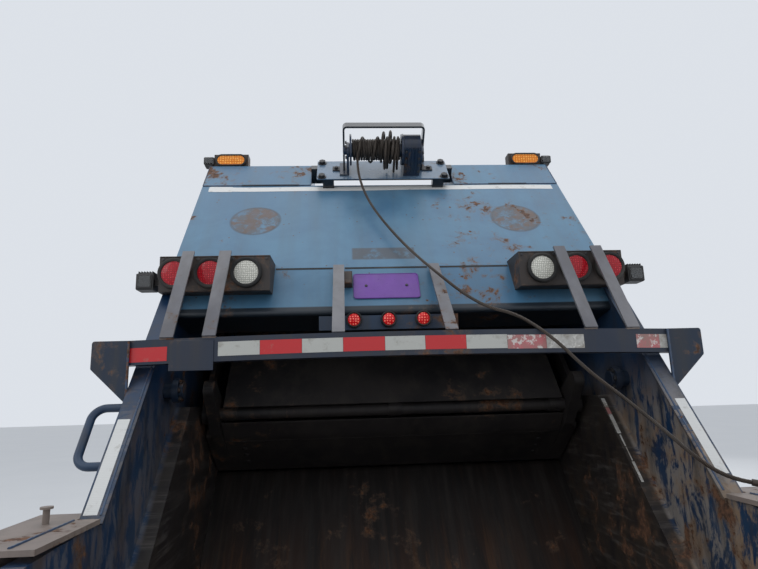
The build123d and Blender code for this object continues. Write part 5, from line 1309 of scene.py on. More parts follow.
@dataclass
class TailTapes:
    """Reflective tape on the beam, the crease, the side flanges and the inner step."""

    beam_edges: tuple[float, ...] = (-0.677, -0.528, -0.377, -0.228, -0.075, 0.073, 0.225, 0.378)
    tape_width: float = 0.051

    def strip(self, x0: float, x1: float, shift: float = 0.0) -> Shape:
        """Piece of tape on the beam's face from x0 to x1, following its bow."""
        path = [(x, BEAM_Y - 0.0003, beam_z(x) + shift) for x in np.linspace(x0, x1, 7)]
        return ribbon(path, Z, -Y, self.tape_width)

    def beam(self) -> None:
        """Red and white pieces along the beam, with the two separate pieces at its ends."""
        red, white = Mesh(), Mesh()
        for k, (x0, x1) in enumerate(zip(self.beam_edges, self.beam_edges[1:])):
            (red if k % 2 else white).add(self.strip(x0 + 0.0005, x1 - 0.0005, -0.003 * max(x0, 0)))
        red.add(self.strip(-1.017, -0.856, -0.009))
        build_all("tailgate", (red, "beam_tape_red", RED_TAPE), (white, "beam_tape_white", WHITE_TAPE))
        faded = Mesh().add(self.strip(0.3785, 0.5245, -0.003)).add(self.strip(0.868, 0.956, -0.003))
        faded.build("beam_tape_faded", FADED_TAPE, "tailgate")
        worn = Mesh().add(self.strip(0.5255, 0.668, -0.003)).add(self.strip(0.9565, 1.015, -0.003))
        worn.build("beam_tape_worn", WORN_TAPE, "tailgate")

    def crease(self) -> None:
        """Long white piece across the slope below the top boxes, lifted at its left end."""
        white = Mesh()
        for x0, x1, wide, thick in ((-0.945, 0.944, 0.044, 0.0006), (-0.94, -0.82, 0.053, 0.0009)):
            xs = np.linspace(x0, x1, 3 + int((x1 - x0) * 30))
            path = [
                slope_point(x, 2.842 + 0.0035 * sin(3.1 * x) + 0.0012 * sin(11 * x), 0.0002) for x in xs]
            white.add(ribbon(path, SLOPE_UP, SLOPE_OUT, wide, thick))
        white.build("crease_tape", STRIPE, "tailgate")

    def sides(self) -> None:
        """White pieces low on both slanted flanges, and the worn ones on the right inner step."""
        white = Mesh()
        for x, low, high, wide in ((-0.9585, 1.4, 1.662, 0.04), (0.96, 1.444, 1.676, 0.036)):
            path = [slope_point(x, z, 0.0002) for z in np.linspace(low, high, 6)]
            white.add(ribbon(path, X, SLOPE_OUT, wide))
        white.build("flange_tape", STRIPE, "tailgate")
        top, foot = np.array((0.888, -2.909, 1.695)), np.array((0.888, -3.227, 1.331))
        way = unit(foot - top)
        out = unit(np.cross(X, way))
        out = out if out[1] < 0 else -out
        worn, faded = Mesh(), Mesh()
        for a, b, wide, piece in ((0.02, 0.068, 0.015, worn), (0.07, 0.105, 0.015, faded),
                                  (0.108, 0.205, 0.015, worn), (0.212, 0.268, 0.006, worn),
                                  (0.272, 0.335, 0.004, worn), (0.34, 0.43, 0.01, worn)):
            path = [top + X * -0.004 + way * t + out * 0.0004 for t in np.linspace(a, b, 4)]
            piece.add(ribbon(path, X, out, wide))
        build_all("tailgate", (worn, "step_tape_worn", WORN_TAPE), (faded, "step_tape_faded", FADED_TAPE))

    def build(self) -> None:
        """Build every strip."""
        self.beam()
        self.crease()
        self.sides()


@dataclass
class TailLamps:
    """Rubber grommets, lens covers, rims and small work lamps of the tailgate."""

    grommet: tuple[Pair, ...] = (
        (-0.014, 0.0645), (-0.002, 0.0655), (0.004, 0.064), (0.0065, 0.059), (0.005, 0.0525),
        (-0.002, 0.049))
    lens: tuple[Pair, ...] = (
        (-0.004, 0.0485), (0.0012, 0.0465), (0.004, 0.036), (0.0058, 0.018), (0.0062, 0.0006))
    markers: Triple = (-0.183, -0.037, 0.109)
    marker_yz: Pair = (-3.0175, 2.033)
    # the work lamps beside the housings and beside the top boxes: |x|
    work_xs: Pair = (1.045, 0.993)
    # middle of an amber lamp's face: |x|, y, z
    amber_at: Triple = (0.868, -2.2465, 3.09)

    def round_lamps(self) -> None:
        """Thick grommets round the six lamps and three markers, and the domed lenses."""
        rubber, red, clear, marker = Mesh(), Mesh(), Mesh(), Mesh()
        ring, dome = lathe(self.grommet, 40, capped=False), lathe(self.lens, 40)
        for x in LAMP_XS:
            place = (x, LENS_Y, LAMP_Z)
            rubber.add(ring, place, OUT_BACK)
            (clear if abs(x) < 0.7 else red).add(dome, place, OUT_BACK)
        small = lathe([(z, r * 0.52) for z, r in self.grommet], 28, capped=False)
        bulb = lathe(
            [(-0.002, 0.0255), (0.003, 0.0245), (0.0075, 0.019), (0.0105, 0.01), (0.0112, 0.0004)], 28)
        for x in self.markers:
            place = (x, *self.marker_yz)
            rubber.add(small, place, OUT_BACK)
            marker.add(bulb, place, OUT_BACK)
        build_all(
            "tailgate", (rubber, "lamp_grommets", RUBBER), (red, "tail_lenses", RED_LENS),
            (clear, "reverse_lenses", CLEAR_LENS), (marker, "marker_lenses", MARKER_LENS))

    def amber(self) -> None:
        """Stadium-shaped rubber rims round the amber lenses."""
        rubber = Mesh()
        half, radius = 0.051, 0.0315
        path = [
            (half * np.sign(round(cos(a), 9)) + radius * cos(a), 0, radius * sin(a)) for a in circle(48)]
        for side in (-1, 1):
            rubber.add(tube(path, 0.0055, 8, closed=True), np.multiply(self.amber_at, (side, 1, 1)))
        rubber.build("amber_rims", RUBBER, "tailgate")

    def work_lamps(self) -> None:
        """Cases, fins and glasses of the small black lamps beside the housings and boxes."""
        black, glass = Mesh(), Mesh()
        for side in (-1, 1):
            x, cube = np.multiply(side, self.work_xs)
            low, high = 2.175, 2.243
            black.add(
                box_between((x - 0.035, -3.026, low - 0.001), (x + 0.035, -2.957, high + 0.001), 0.004))
            for k in range(6):
                fin = -0.028 + 0.0112 * k
                black.add(box_between(
                    (x + fin - 0.0015, -3.018, high), (x + fin + 0.0015, -2.962, high + 0.011), 0.0006))
            black.add(prism(rounded(0.06, 0.058, 0.008), 0.004, 0.001), (x, -3.026, 2.209), OUT_BACK)
            glass.add(prism(rounded(0.048, 0.046, 0.006), 0.002, 0.0005), (x, -3.03, 2.209), OUT_BACK)
            black.add(box_between((cube - 0.029, -2.249, 3.06), (cube + 0.029, -2.203, 3.11), 0.006))
            glass.add(prism(rounded(0.044, 0.036, 0.008), 0.003, 0.001), (cube, -2.249, 3.085), OUT_BACK)
        build_all("tailgate", (black, "work_lamps", BLACK), (glass, "work_lamp_glass", LAMP_GLASS))

    def housings(self) -> None:
        """Folded rims and screws of the lamp boxes."""
        rim, screws = Mesh(), Mesh()
        for side in (-1, 1):
            x0, x1 = sorted((side * 0.532, side * 0.983))
            for z in (2.1625, 2.3095):
                edge = [(x, -3.0335 + 0.0006 * sin(60 * x), z) for x in np.linspace(x0, x1, 40)]
                rim.add(tube(edge, 0.0028, 6))
            for x in np.linspace(x0 + 0.012, x1 - 0.012, 4):
                screws.add(bolt(0.006), (x, -3.0332, 2.299), OUT_BACK)
        build_all("tailgate", (rim, "lamp_box_rims", LAMP_BOX), (screws, "lamp_box_screws", BOLT_STEEL))

    def build(self) -> None:
        """Build every lamp's parts."""
        self.round_lamps()
        self.amber()
        self.work_lamps()
        self.housings()


@dataclass
class RearPlate:
    """Blank plate on the apron with its bolts and the plate lamp beside it."""

    centre: Pair = (-0.037, 2.19)
    size: Pair = (0.29, 0.145)

    def build(self) -> None:
        """Build plate, rim, bolts and lamp."""
        turn = axes(APRON_OUT)
        place = apron_point(*self.centre, 0.004)
        width, height = self.size
        plate = Mesh().add(prism(rounded(width, height, 0.014), 0.0016, 0.0004), place, turn)
        edge = [(*p, 0.0016) for p in rounded(width - 0.006, height - 0.006, 0.011, 7)]
        rim = Mesh().add(tube(edge, 0.0016, 6, closed=True), place, turn)
        bolts = Mesh()
        for x in (-0.089, 0.089):
            bolts.add(bolt(0.006), place + turn @ np.array((x, 0.0, 0.0016)), turn)
        lamp = Mesh().add(box((0.04, 0.078, 0.034), 0.006), apron_point(-0.206, 2.215, 0.0175), turn)
        lamp.add(box((0.03, 0.02, 0.01), 0.003), apron_point(-0.206, 2.187, 0.038), turn)
        build_all(
            "tailgate", (plate, "rear_plate", PLATE), (rim, "plate_rim", PLATE),
            (bolts, "plate_bolts", BOLT_STEEL), (lamp, "plate_lamp", LAMP_BOX))


@dataclass
class WinchParts:
    """Bolts, ribs, brackets and hoses of the winch on the tailgate's top."""

    drum: Pair = (-0.012, 0.125)

    def place(self, x: float, y: float, z: float) -> Array:
        """Point at x across, y up the slope and z above the winch plate."""
        return WINCH_TOP + X * x + SLOPE_UP * y + SLOPE_OUT * z

    def plate(self) -> None:
        """Black corner bolts of the plate and bolted feet of the hoop."""
        turn = axes(SLOPE_OUT)
        black = Mesh()
        for x in (-0.335, 0.335):
            for y in (-0.08, 0.078):
                black.add(bolt(0.021), self.place(x, y, 0.0), turn)
        for side in (-1, 1):
            black.add(box((0.06, 0.046, 0.007), 0.002), self.place(side * 0.247, 0.006, 0.0035), turn)
            black.add(bolt(0.012), self.place(side * 0.256, 0.006, 0.007), turn)
        black.build("winch_plate_bolts", BOLT_BLACK, "tailgate")

    def case(self) -> None:
        """Rings of bolts, cover and ribs on the gear case, drum bearing and side plate."""
        paint, steel = Mesh(), Mesh()
        turn = axes(X, SLOPE_OUT)
        back = axes(-X, SLOPE_OUT)
        gear = self.place(0.197, -0.008, 0.108)
        paint.add(
            lathe(
                [(0, 0.07), (0.008, 0.07), (0.011, 0.066), (0.012, 0.048), (0.02, 0.044), (0.022, 0.02)],
                36), gear, turn)
        steel.ring(bolt(0.009), gear + turn[:, 2] * 0.011, turn, 0.059, 8, 22.5)
        front = axes(-SLOPE_UP, SLOPE_OUT)
        for k in range(5):
            rib = self.place(0.112 + 0.0185 * k, -0.0765, 0.09)
            paint.add(box((0.005, 0.15, 0.01), 0.0015), rib, front)
        for z in (0.028, 0.066, 0.104, 0.142):
            for x in (0.118, 0.19):
                steel.add(bolt(0.008), self.place(x, -0.078, z), front)
        hub = self.place(-0.205, *self.drum)
        paint.add(lathe([(0, 0.025), (0.01, 0.025), (0.013, 0.021), (0.014, 0.01)], 24), hub, back)
        steel.ring(bolt(0.01), self.place(-0.198, *self.drum), back, 0.041, 4, 45.0)
        for x in (-0.1784, 0.1046):
            paint.add(ring_of(0.0815, 0.003, 48, 8), self.place(x, *self.drum), turn)
        paint.add(box((0.045, 0.135, 0.008), 0.002), self.place(-0.215, 0.0, 0.004), axes(SLOPE_OUT))
        build_all("tailgate", (paint, "winch_cover", WINCH_PAINT), (steel, "winch_bolts", BOLT_STEEL))

    def hoses(self) -> None:
        """Two short hydraulic hoses from the motor down behind the plate, with their fittings."""
        rubber, steel = Mesh(), Mesh()
        for k, x in enumerate((0.172, 0.19)):
            start = self.place(x, 0.03, 0.15 - 0.028 * k)
            path = [start, start + SLOPE_UP * 0.035 + SLOPE_OUT * 0.006]
            path += [
                self.place(x + dx, up, out)
                for dx, up, out in ((0.03, 0.086, 0.09), (0.045, 0.096, 0.02), (0.05, 0.094, -0.045))]
            rubber.add(tube(smooth_path(path, 30), 0.0075, 10))
            steel.add(lathe([(0, 0.0095), (0.016, 0.0095), (0.018, 0.008)], 12), start, axes(SLOPE_UP))
        build_all("tailgate", (rubber, "winch_hoses", RUBBER), (steel, "winch_fittings", BOLT_STEEL))

    def build(self) -> None:
        """Build every part of the winch."""
        self.plate()
        self.case()
        self.hoses()


@dataclass
class TailPanels:
    """Weld beads, painted shadows in the seams, patch plate and bolts of the tailgate's steelwork."""

    guard_xs: tuple[float, ...] = (-0.86, -0.71, -0.245, 0.18, 0.7, 0.86)
    pin_boss: Triple = (0.8695, -3.06, 1.76)
    hinge_boss: Triple = (1.005, -2.09, 2.4)
    # beads on the slope: x and z from and to, how proud, and the radius
    slope_beads: tuple[tuple[float, ...], ...] = (
        (0.9285, 1.4, 0.9285, 2.25, 0.0, 0.0035), (0.398, 2.874, 0.398, 3.044, 0.0, 0.0025),
        (0.984, 2.874, 0.984, 3.044, 0.0, 0.0025), (0.4, 2.8712, 0.983, 2.8712, 0.001, 0.003))

    def seams(self) -> None:
        """Painted shadow in the gap under the slope's lower edge and the slots at the top boxes' feet."""
        dark = Mesh()
        # Painted shadow: these black strips stand for the shade inside the panel gaps
        for x0, x1 in ((-0.526, -0.272), (-0.218, 0.154), (0.208, 0.526)):
            path = [apron_point(x, 2.287, 0.0004) for x in np.linspace(x0, x1, 4)]
            dark.add(ribbon(path, APRON_UP, APRON_OUT, 0.01, 0.0004))
        for x0, x1, z in ((-0.774, -0.461, 2.871), (0.592, 0.809, 2.871)):
            path = [slope_point(x, z, 0.0042) for x in np.linspace(x0, x1, 4)]
            dark.add(ribbon(path, SLOPE_UP, SLOPE_OUT, 0.009, 0.0004))
        dark.build("panel_gap_shadows", RUBBER, "tailgate")

    def patch(self) -> None:
        """Plain plate welded over the beam's left part, and the rusty feet of the guard bars."""
        plate, rust = Mesh(), Mesh()
        plate.add(box_between((-0.848, BEAM_Y - 0.004, 1.822), (-0.692, BEAM_Y - 0.0002, 1.931), 0.0015))
        for x in self.guard_xs:
            z, foot_y = beam_z(x) + 0.0445, BEAM_Y if abs(x) > 0.5 else BEAM_Y + 0.03
            for y in (foot_y + 0.0005, foot_y + 0.0095):
                rust.add(bead((x - 0.024, y, z), (x + 0.024, y, z), 0.0035))
        build_all("tailgate", (plate, "beam_patch", BEAM_PAINT), (rust, "guard_welds", EAR_STEEL))

    def beads(self) -> None:
        """Beads where the wings, flanges, ledges, boxes and linings are welded."""
        welds = Mesh()
        for side in (-1, 1):
            welds.add(bead((side * 0.987, -3.311, 1.715), (side * 0.987, -3.311, 1.93)))
            welds.add(bead((side * 0.93, -3.238, 1.935), (side * 1.028, -3.238, 1.935), 0.003))
            for x0, z0, x1, z1, proud, radius in self.slope_beads:
                low, high = slope_point(side * x0, z0, proud), slope_point(side * x1, z1, proud)
                welds.add(bead(low, high, radius))
            welds.add(bead((side * 0.9865, -3.95, 1.3945), (side * 0.9865, -3.64, 1.3945)))
        welds.build("tail_welds", WELD_BLUE, "tailgate")

    def hardware(self) -> None:
        """Bolts of the pin bosses and of the lift cylinders' bosses, with their end caps."""
        steel = Mesh()
        for side in (-1, 1):
            turn, out = axes(X * -side), axes(X * side)
            steel.ring(bolt(0.01), np.multiply(self.pin_boss, (side, 1, 1)), turn, 0.036, 6)
            boss = np.multiply(self.hinge_boss, (side, 1, 1))
            steel.ring(bolt(0.01), boss, out, 0.057, 8, 22.5)
            steel.add(lathe([(0, 0.04), (0.006, 0.04), (0.009, 0.034)], 28), boss + X * side * 0.148, out)
            steel.add(bolt(0.016), boss + X * side * 0.157, out)
        steel.build("tail_bolts", BOLT_STEEL, "tailgate")

    def build(self) -> None:
        """Build every small piece."""
        self.seams()
        self.patch()
        self.beads()
        self.hardware()


@dataclass
class Wheels:
    """Treaded tyres in place of the plain ones, with nuts, hub caps and valves on the rims."""

    rib_edges: tuple[float, ...] = (
        -0.118, -0.076, -0.071, -0.027, -0.022, 0.022, 0.027, 0.071, 0.076, 0.118)
    lug_edges: tuple[float, ...] = (-0.122, -0.066, -0.057, -0.004, 0.004, 0.057, 0.066, 0.122)
    pitches: int = 54
    groove_r: float = 0.5085
    # the carcass from one bead to the tread's middle: half width and radius
    half: tuple[Pair, ...] = (
        (0.105, 0.2868), (0.112, 0.29), (0.117, 0.305), (0.1215, 0.31), (0.1225, 0.314), (0.125, 0.33),
        (0.132, 0.36), (0.1345, 0.39), (0.134, 0.42), (0.1345, 0.423), (0.134, 0.426), (0.1315, 0.456),
        (0.127, 0.483), (0.124, 0.5), (0.118, 0.5095), (0.1, 0.511))

    def carcass(self) -> Shape:
        """Body of the tyre about z: bead, sidewall with its mould rings, shoulder and tread floor."""
        return lathe(
            [(z, r) for z, r in self.half] + [(-z, r) for z, r in self.half[::-1]], 96, capped=False)

    def block(self, angle: float, width: float, x0: float, x1: float, skew: float) -> Shape:
        """One tread block: a skewed patch of the tread, raised from the groove floor, with eased edges.

        Args:
            angle: its place round the tyre.
            width: its length round the tyre, as an angle.
            x0: inner edge.
            x1: outer edge.
            skew: slant, as an angle.

        Returns:
            The shape.
        """
        high, ease = TYRE_R - 0.0003, 0.0025
        middle, half = (x0 + x1) / 2, (x1 - x0) / 2
        rows = []
        for radius, shrink in ((self.groove_r, 0.0), (high - ease, 0.0), (high, ease)):
            for sx, sa in ((-1, -1), (1, -1), (1, 1), (-1, 1)):
                x = middle + sx * (half - shrink)
                a = angle + sa * (width / 2 - shrink / TYRE_R) + skew * (x - middle) / half
                rows.append((radius * cos(a), radius * sin(a), x))
        return np.array(rows), [grid(3, 4, wrap_cols=True), np.array([[8, 9, 10, 11]])]

    def tread(self, edges: Vector, ribs: bool) -> Shape:
        """All blocks of a tread: long ribs nearly closed up, or separate lugs set at a slant.

        Args:
            edges: pairs of edges of the rows across the tyre.
            ribs: long ribs or lugs.

        Returns:
            The shape.
        """
        step = 2 * pi / self.pitches
        blocks = []
        for row in range(len(edges) // 2):
            x0, x1 = edges[2 * row], edges[2 * row + 1]
            skew = (0.016 if ribs else 0.024) * (1 if row % 2 else -1)
            width = step * (0.965 if ribs else 0.74)
            for k in range(self.pitches):
                blocks.append(self.block(step * (k + 0.5 * (row % 2)), width, x0, x1, skew))
        return joined(*blocks)

    def tyres(self) -> None:
        """One piece for each front tyre and one for each pair of twins."""
        carcass, turn = self.carcass(), axes(X)
        rib, lug = self.tread(self.rib_edges, True), self.tread(self.lug_edges, False)
        # y, x of each wheel, tread, and the names of the body and the plain tyre
        axles = (
            (FRONT_AXLE_Y, (1.02,), rib, "front_wheel_", "front_tyre_"),
            (REAR_AXLE_Y, (0.75, 1.08), lug, "rear_wheels_", "rear_tyres_"))
        for axle_y, xs, tread, body, node in axles:
            for side, word in SIDES:
                mesh = Mesh()
                for x in xs:
                    place = (side * x, axle_y, AXLE_Z)
                    mesh.add(carcass, place, turn).add(tread, place, turn)
                tyre = mesh.build(node + word + "_treaded", TYRE, body + word, 40)
                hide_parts(node + word)

    def stud(self, size: float) -> Shape:
        """Nut on the end of its stud, standing on z = 0; size is the stud's diameter."""
        thread = lathe([(0, size * 0.42), (size * 1.35, size * 0.42), (size * 1.45, size * 0.3)], 12)
        return joined(bolt(size), thread)

    def rims(self) -> None:
        """Nuts, caps, flanges and valves on the outside of each wheel."""
        cap = [(0, 0.082), (0.006, 0.082), (0.008, 0.066), (0.022, 0.062), (0.03, 0.05), (0.032, 0.01)]
        flange = [(0, 0.102), (0.01, 0.102), (0.013, 0.097), (0.014, 0.06), (0.02, 0.052), (0.022, 0.01)]
        # names, y, the rim's face, the hub's face and profile, and its nuts: size, radius, count, rise
        axles = (
            ("front", "wheel", "hub_cap", FRONT_AXLE_Y, 1.115, 1.17, cap, 0.008, 0.074, 6, 0.006),
            ("rear", "wheels", "hub_flange", REAR_AXLE_Y, 0.997, 1.14, flange, 0.012, 0.083, 8, 0.012))
        for side, word in SIDES:
            out = X * side
            turn = axes(out)
            for axle, wheel, hub_name, y, rim_x, hub_x, profile, size, radius, count, rise in axles:
                steel, white = Mesh(), Mesh()
                face, hub = np.array(((side * rim_x, y, AXLE_Z), (side * hub_x, y, AXLE_Z)))
                steel.ring(self.stud(0.02), face, turn, 0.1425, 10)
                steel.ring(self.stud(size), hub + out * rise, turn, radius, count)
                white.add(lathe(profile, 40), hub, turn)
                if axle == "front":
                    valve = face + Z * 0.235 - out * 0.03
                    bend = valve + out * 0.03 - Z * 0.004
                    steel.add(tube([valve, bend, valve + out * 0.055 - Z * 0.012], 0.004, 8))
                build_all(
                    f"{axle}_{wheel}_{word}", (steel, f"{axle}_nuts_{word}", BOLT_STEEL),
                    (white, f"{axle}_{hub_name}_{word}", RIM_WHITE))

    def build(self) -> None:
        """Build tyres and wheel hardware."""
        self.tyres()
        self.rims()


@dataclass
class Seats:
    """Two padded seats with welted seams and stitched channels, on pressed pedestals."""

    xs: Pair = (-0.47, 0.47)
    y: float = 1.82
    cushion: Triple = (0.49, 0.49, 0.132)
    back: Triple = (0.48, 0.64, 0.105)
    # middles of both: y from the seat's own, and z
    cushion_at: Pair = (0.01, 1.352)
    back_at: Pair = (-0.222, 1.705)
    lean: float = radians(7.8)

    def pad(self, size: Vector, channels: int, crown: float = 0.016, power: float = 0.34) -> Shape:
        """Crowned closed cushion: a rounded box whose upper face swells between sewn channels.

        The surface is a superellipsoid, with each coordinate a signed power of a sine or cosine; a
        channel is a narrow bell-shaped furrow across the upper face.

        Args:
            size: lengths along x, y and z.
            channels: sewn channels across it.
            crown: rise of the upper face.
            power: the corners' squareness.

        Returns:
            The shape.
        """
        a = circle(96)[None]
        b = np.linspace(-pi / 2, pi / 2, 49)[:, None]

        def curve(value: Array) -> Array:
            """Signed power of a sine or cosine."""
            return np.sign(value) * np.abs(value) ** power

        x = size[0] / 2 * curve(np.cos(b)) * curve(np.cos(a))
        y = size[1] / 2 * curve(np.cos(b)) * curve(np.sin(a))
        z = np.broadcast_to(size[2] / 2 * curve(np.sin(b)), x.shape).copy()
        bulge = (1 - (2 * x / size[0]) ** 4) * (1 - (2 * y / size[1]) ** 4)
        upper = np.clip(z * 2 / size[2], 0, 1)
        z += crown * bulge * upper
        for k in range(channels):
            line = size[0] * ((k + 0.5) / channels - 0.5) * 0.72
            z -= 0.007 * np.exp(-((x - line) / 0.007) ** 2) * bulge * upper
        return np.stack((x, y, z), -1).reshape(-1, 3), [grid(49, 96, wrap_cols=True)]

    def build(self) -> None:
        trim, welts = Mesh(), Mesh()
        cushions = Mesh()
        back_turn = axes((0, cos(self.lean), sin(self.lean)))
        for x in self.xs:
            seat, back = (np.array((x, self.y + dy, z)) for dy, z in (self.cushion_at, self.back_at))
            cushions.add(self.pad(self.cushion, 4), seat)
            cushions.add(self.pad(self.back, 4), back, back_turn)
            rail = np.array([(*p, 0.0) for p in rounded(0.478, 0.478, 0.075, 9)])
            welts.add(tube(rail + seat, 0.0045, 6, closed=True))
            rail = np.array([(*p, 0.0) for p in rounded(0.468, 0.626, 0.085, 9)])
            welts.add(tube(rail @ back_turn.T + back, 0.0045, 6, closed=True))
            trim.add(box_between(
                (x - 0.172, self.y - 0.172, 1.052), (x + 0.172, self.y + 0.172, 1.275), 0.012))
            for z in (1.1, 1.14, 1.18, 1.22):
                fold = [(px + x, py + self.y, z) for px, py in rounded(0.356, 0.356, 0.03, 4)]
                trim.add(tube(fold, 0.009, 6, closed=True))
        seats = cushions.build("seat_cushions", VINYL, "chassis", 60)
        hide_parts("seats")
        build_all("chassis", (welts, "seat_welts", BLACK), (trim, "seat_pedestals", TRIM))


@dataclass
class CabInside:
    """Blank dials, vents, switches, gear lever and pedals in front of the driver."""

    dial_xs: Triple = (-0.59, -0.47, -0.35)
    vent_xs: tuple[float, ...] = (-0.82, -0.1, 0.25, 0.78)
    switches: int = 8
    pedal_xs: Triple = (-0.58, -0.46, -0.34)
    # middle of the steering wheel's hub
    hub: Triple = (-0.47, 2.12, 1.69)

    def build(self) -> None:
        """Build the controls."""
        black, rings, white = Mesh(), Mesh(), Mesh()
        face = axes((0, -1, 0.35))
        for x in self.dial_xs:
            spot = np.array((x, 2.262, 1.575))
            rings.add(ring_of(0.045, 0.004, 32, 8), spot, face)
            white.add(lathe([(0, 0.043), (0.001, 0.043)], 32), spot, face)
            black.add(box((0.003, 0.034, 0.002), 0.0005), spot + np.array((0.006, -0.003, 0.012)), face)
        for x in self.vent_xs:
            for k in range(5):
                black.add(box((0.13, 0.004, 0.016), 0.001), (x, 2.265, 1.54 + 0.014 * k), face)
        for k in range(self.switches):
            black.add(box((0.022, 0.014, 0.014), 0.003), (-0.2 + 0.034 * k, 2.268, 1.498), face)
        black.add(
            tube(smooth_path([(0.02, 2.05, 1.052), (0.02, 2.03, 1.25), (0.0, 2.0, 1.44)], 20), 0.01, 10))
        black.add(
            lathe([(-0.03, 0.008), (-0.02, 0.022), (0, 0.027), (0.02, 0.022), (0.027, 0.004)], 20),
            (0.0, 1.998, 1.455))
        for x in self.pedal_xs:
            black.add(box((0.06, 0.085, 0.012), 0.004), (x, 2.38, 1.16), axes((0, -0.8, 0.6)))
            black.add(tube([(x, 2.39, 1.165), (x, 2.47, 1.3)], 0.008, 8))
        wheel = axes((0, -0.66, 0.75))
        black.add(
            lathe([(-0.012, 0.052), (0.01, 0.052), (0.018, 0.044), (0.022, 0.008)], 28), self.hub, wheel)
        build_all(
            "chassis", (black, "cab_controls", BLACK), (rings, "dial_rings", CHROME),
            (white, "dial_faces", STRIPE))


@dataclass
class CabOutside:
    """Rubber seals, wipers, handles, marker lamps, mirror glass and trim of the cab and doors."""

    marker_xs: tuple[float, ...] = (-0.66, -0.19, 0.0, 0.19, 0.66)
    mirror_x: float = 1.19
    door_x: float = 1.001
    wiper_xs: Pair = (-0.62, 0.1)

    def screen_y(self, z: float) -> float:
        """Y of the windscreen's plane at a height."""
        return 2.64 - (z - 1.69) * 0.4 / 0.77

    def seals(self) -> None:
        """Seals round the windscreen and the back window, and the strip at the cab's foot."""
        rubber = Mesh()
        corners = []
        for x, z, sx, sz in ((0.89, 1.75, 1, -1), (0.83, 2.36, 1, 1), (-0.83, 2.36, -1, 1),
                             (-0.89, 1.75, -1, -1)):
            start = atan2(sz, sx) - pi / 4
            for a in np.linspace(start, start + pi / 2, 6):
                px, pz = x - sx * 0.06 + 0.06 * cos(a), z - sz * 0.06 + 0.06 * sin(a)
                corners.append((px, self.screen_y(pz) + 0.001, pz))
        rubber.add(tube(corners, 0.011, 8, closed=True))
        back = [(x, 1.327, 2.01 + z) for x, z in rounded(0.85, 0.43, 0.065, 7)]
        rubber.add(tube(back, 0.009, 8, closed=True))
        rubber.add(box_between((-0.9, 2.642, 1.012), (0.9, 2.648, 1.06), 0.002))
        rubber.build("screen_seals", RUBBER, "chassis")

    def wipers(self) -> None:
        """Two wipers parked low on the windscreen."""
        black = Mesh()
        for x in self.wiper_xs:
            pivot = np.array((x, self.screen_y(1.725) + 0.012, 1.725))
            tip = np.array((x + 0.4, self.screen_y(1.815) + 0.018, 1.815))
            black.add(tube(smooth_path([pivot, (pivot + tip) / 2 + Y * 0.014, tip], 16), 0.006, 8))
            boss = lathe([(0, 0.018), (0.012, 0.018), (0.018, 0.012)], 18)
            black.add(boss, pivot - Y * 0.01, axes((0, 0.89, 0.46)))
            a = np.array((tip[0] - 0.24, self.screen_y(1.788) + 0.008, 1.788))
            b = np.array((tip[0] + 0.22, self.screen_y(1.838) + 0.008, 1.838))
            black.add(tube(np.linspace(a, b, 12), 0.0055, 6))
        black.build("wipers", BLACK, "chassis")

    def roof(self) -> None:
        """Five amber marker lamps on the roof."""
        amber, black = Mesh(), Mesh()
        for x in self.marker_xs:
            black.add(box_between((x - 0.058, 2.085, 2.46), (x + 0.058, 2.149, 2.47), 0.004))
            amber.add(self.dome(0.05, 0.026, 0.032), (x, 2.115, 2.47))
        build_all("chassis", (amber, "roof_markers", AMBER_LENS), (black, "roof_marker_bases", BLACK))

    def dome(self, a: float, b: float, height: float) -> Shape:
        """Half of an ellipsoid standing on z = 0.

        Args:
            a: half length along x.
            b: half length along y.
            height: of the top.

        Returns:
            The shape.
        """
        u = circle(32)[None]
        v = np.linspace(0, pi / 2 - 0.02, 9)[:, None]
        z = np.broadcast_to(height * np.sin(v), (9, 32))
        points = np.stack((a * np.cos(v) * np.cos(u), b * np.cos(v) * np.sin(u), z), -1)
        return points.reshape(-1, 3), [grid(9, 32, wrap_cols=True), ends(9, 32)[1]]

    def doors(self) -> None:
        """Handle, lock, belt strip and step rail of each door."""
        for side, word in SIDES:
            black, chrome = Mesh(), Mesh()
            x = side * self.door_x
            out = axes(X * side)
            black.add(prism(rounded(0.15, 0.062, 0.016), 0.006, 0.002), (x, 1.69, 1.59), out)
            grip = [(x + side * dx, y, z) for dx, y, z in (
                (0.004, 1.632, 1.59), (0.026, 1.65, 1.592), (0.028, 1.725, 1.592), (0.006, 1.745, 1.59))]
            chrome.add(tube(smooth_path(grip, 20), 0.008, 10))
            chrome.add(lathe([(0, 0.011), (0.003, 0.011), (0.004, 0.008)], 16), (x, 1.64, 1.53), out)
            for z in (1.12, 1.34):
                black.add(box_between((x, 1.62, z), (x + side * 0.004, 2.43, z + 0.01), 0.0015))
            build_all(
                "door_" + word, (black, "door_trim_" + word, BLACK),
                (chrome, "door_handle_" + word, CHROME))

    def rails(self) -> None:
        """Upright grab rails behind the doors, each on two round feet."""
        chrome = Mesh()
        for side in (-1, 1):
            x = side * 1.002
            path = [
                (x + side * dx, 1.445, z)
                for dx, z in ((0, 1.2), (0.045, 1.23), (0.05, 1.45), (0.045, 1.69), (-0.003, 1.72))]
            chrome.add(tube(smooth_path(path, 36), 0.012, 12))
            foot = lathe([(0, 0.024), (0.004, 0.024), (0.007, 0.015)], 18)
            for dx, z in ((0.0, 1.2), (0.004, 1.72)):
                chrome.add(foot, (x - side * dx, 1.445, z), axes(X * side))
        chrome.build("cab_grab_rails", CHROME, "chassis")

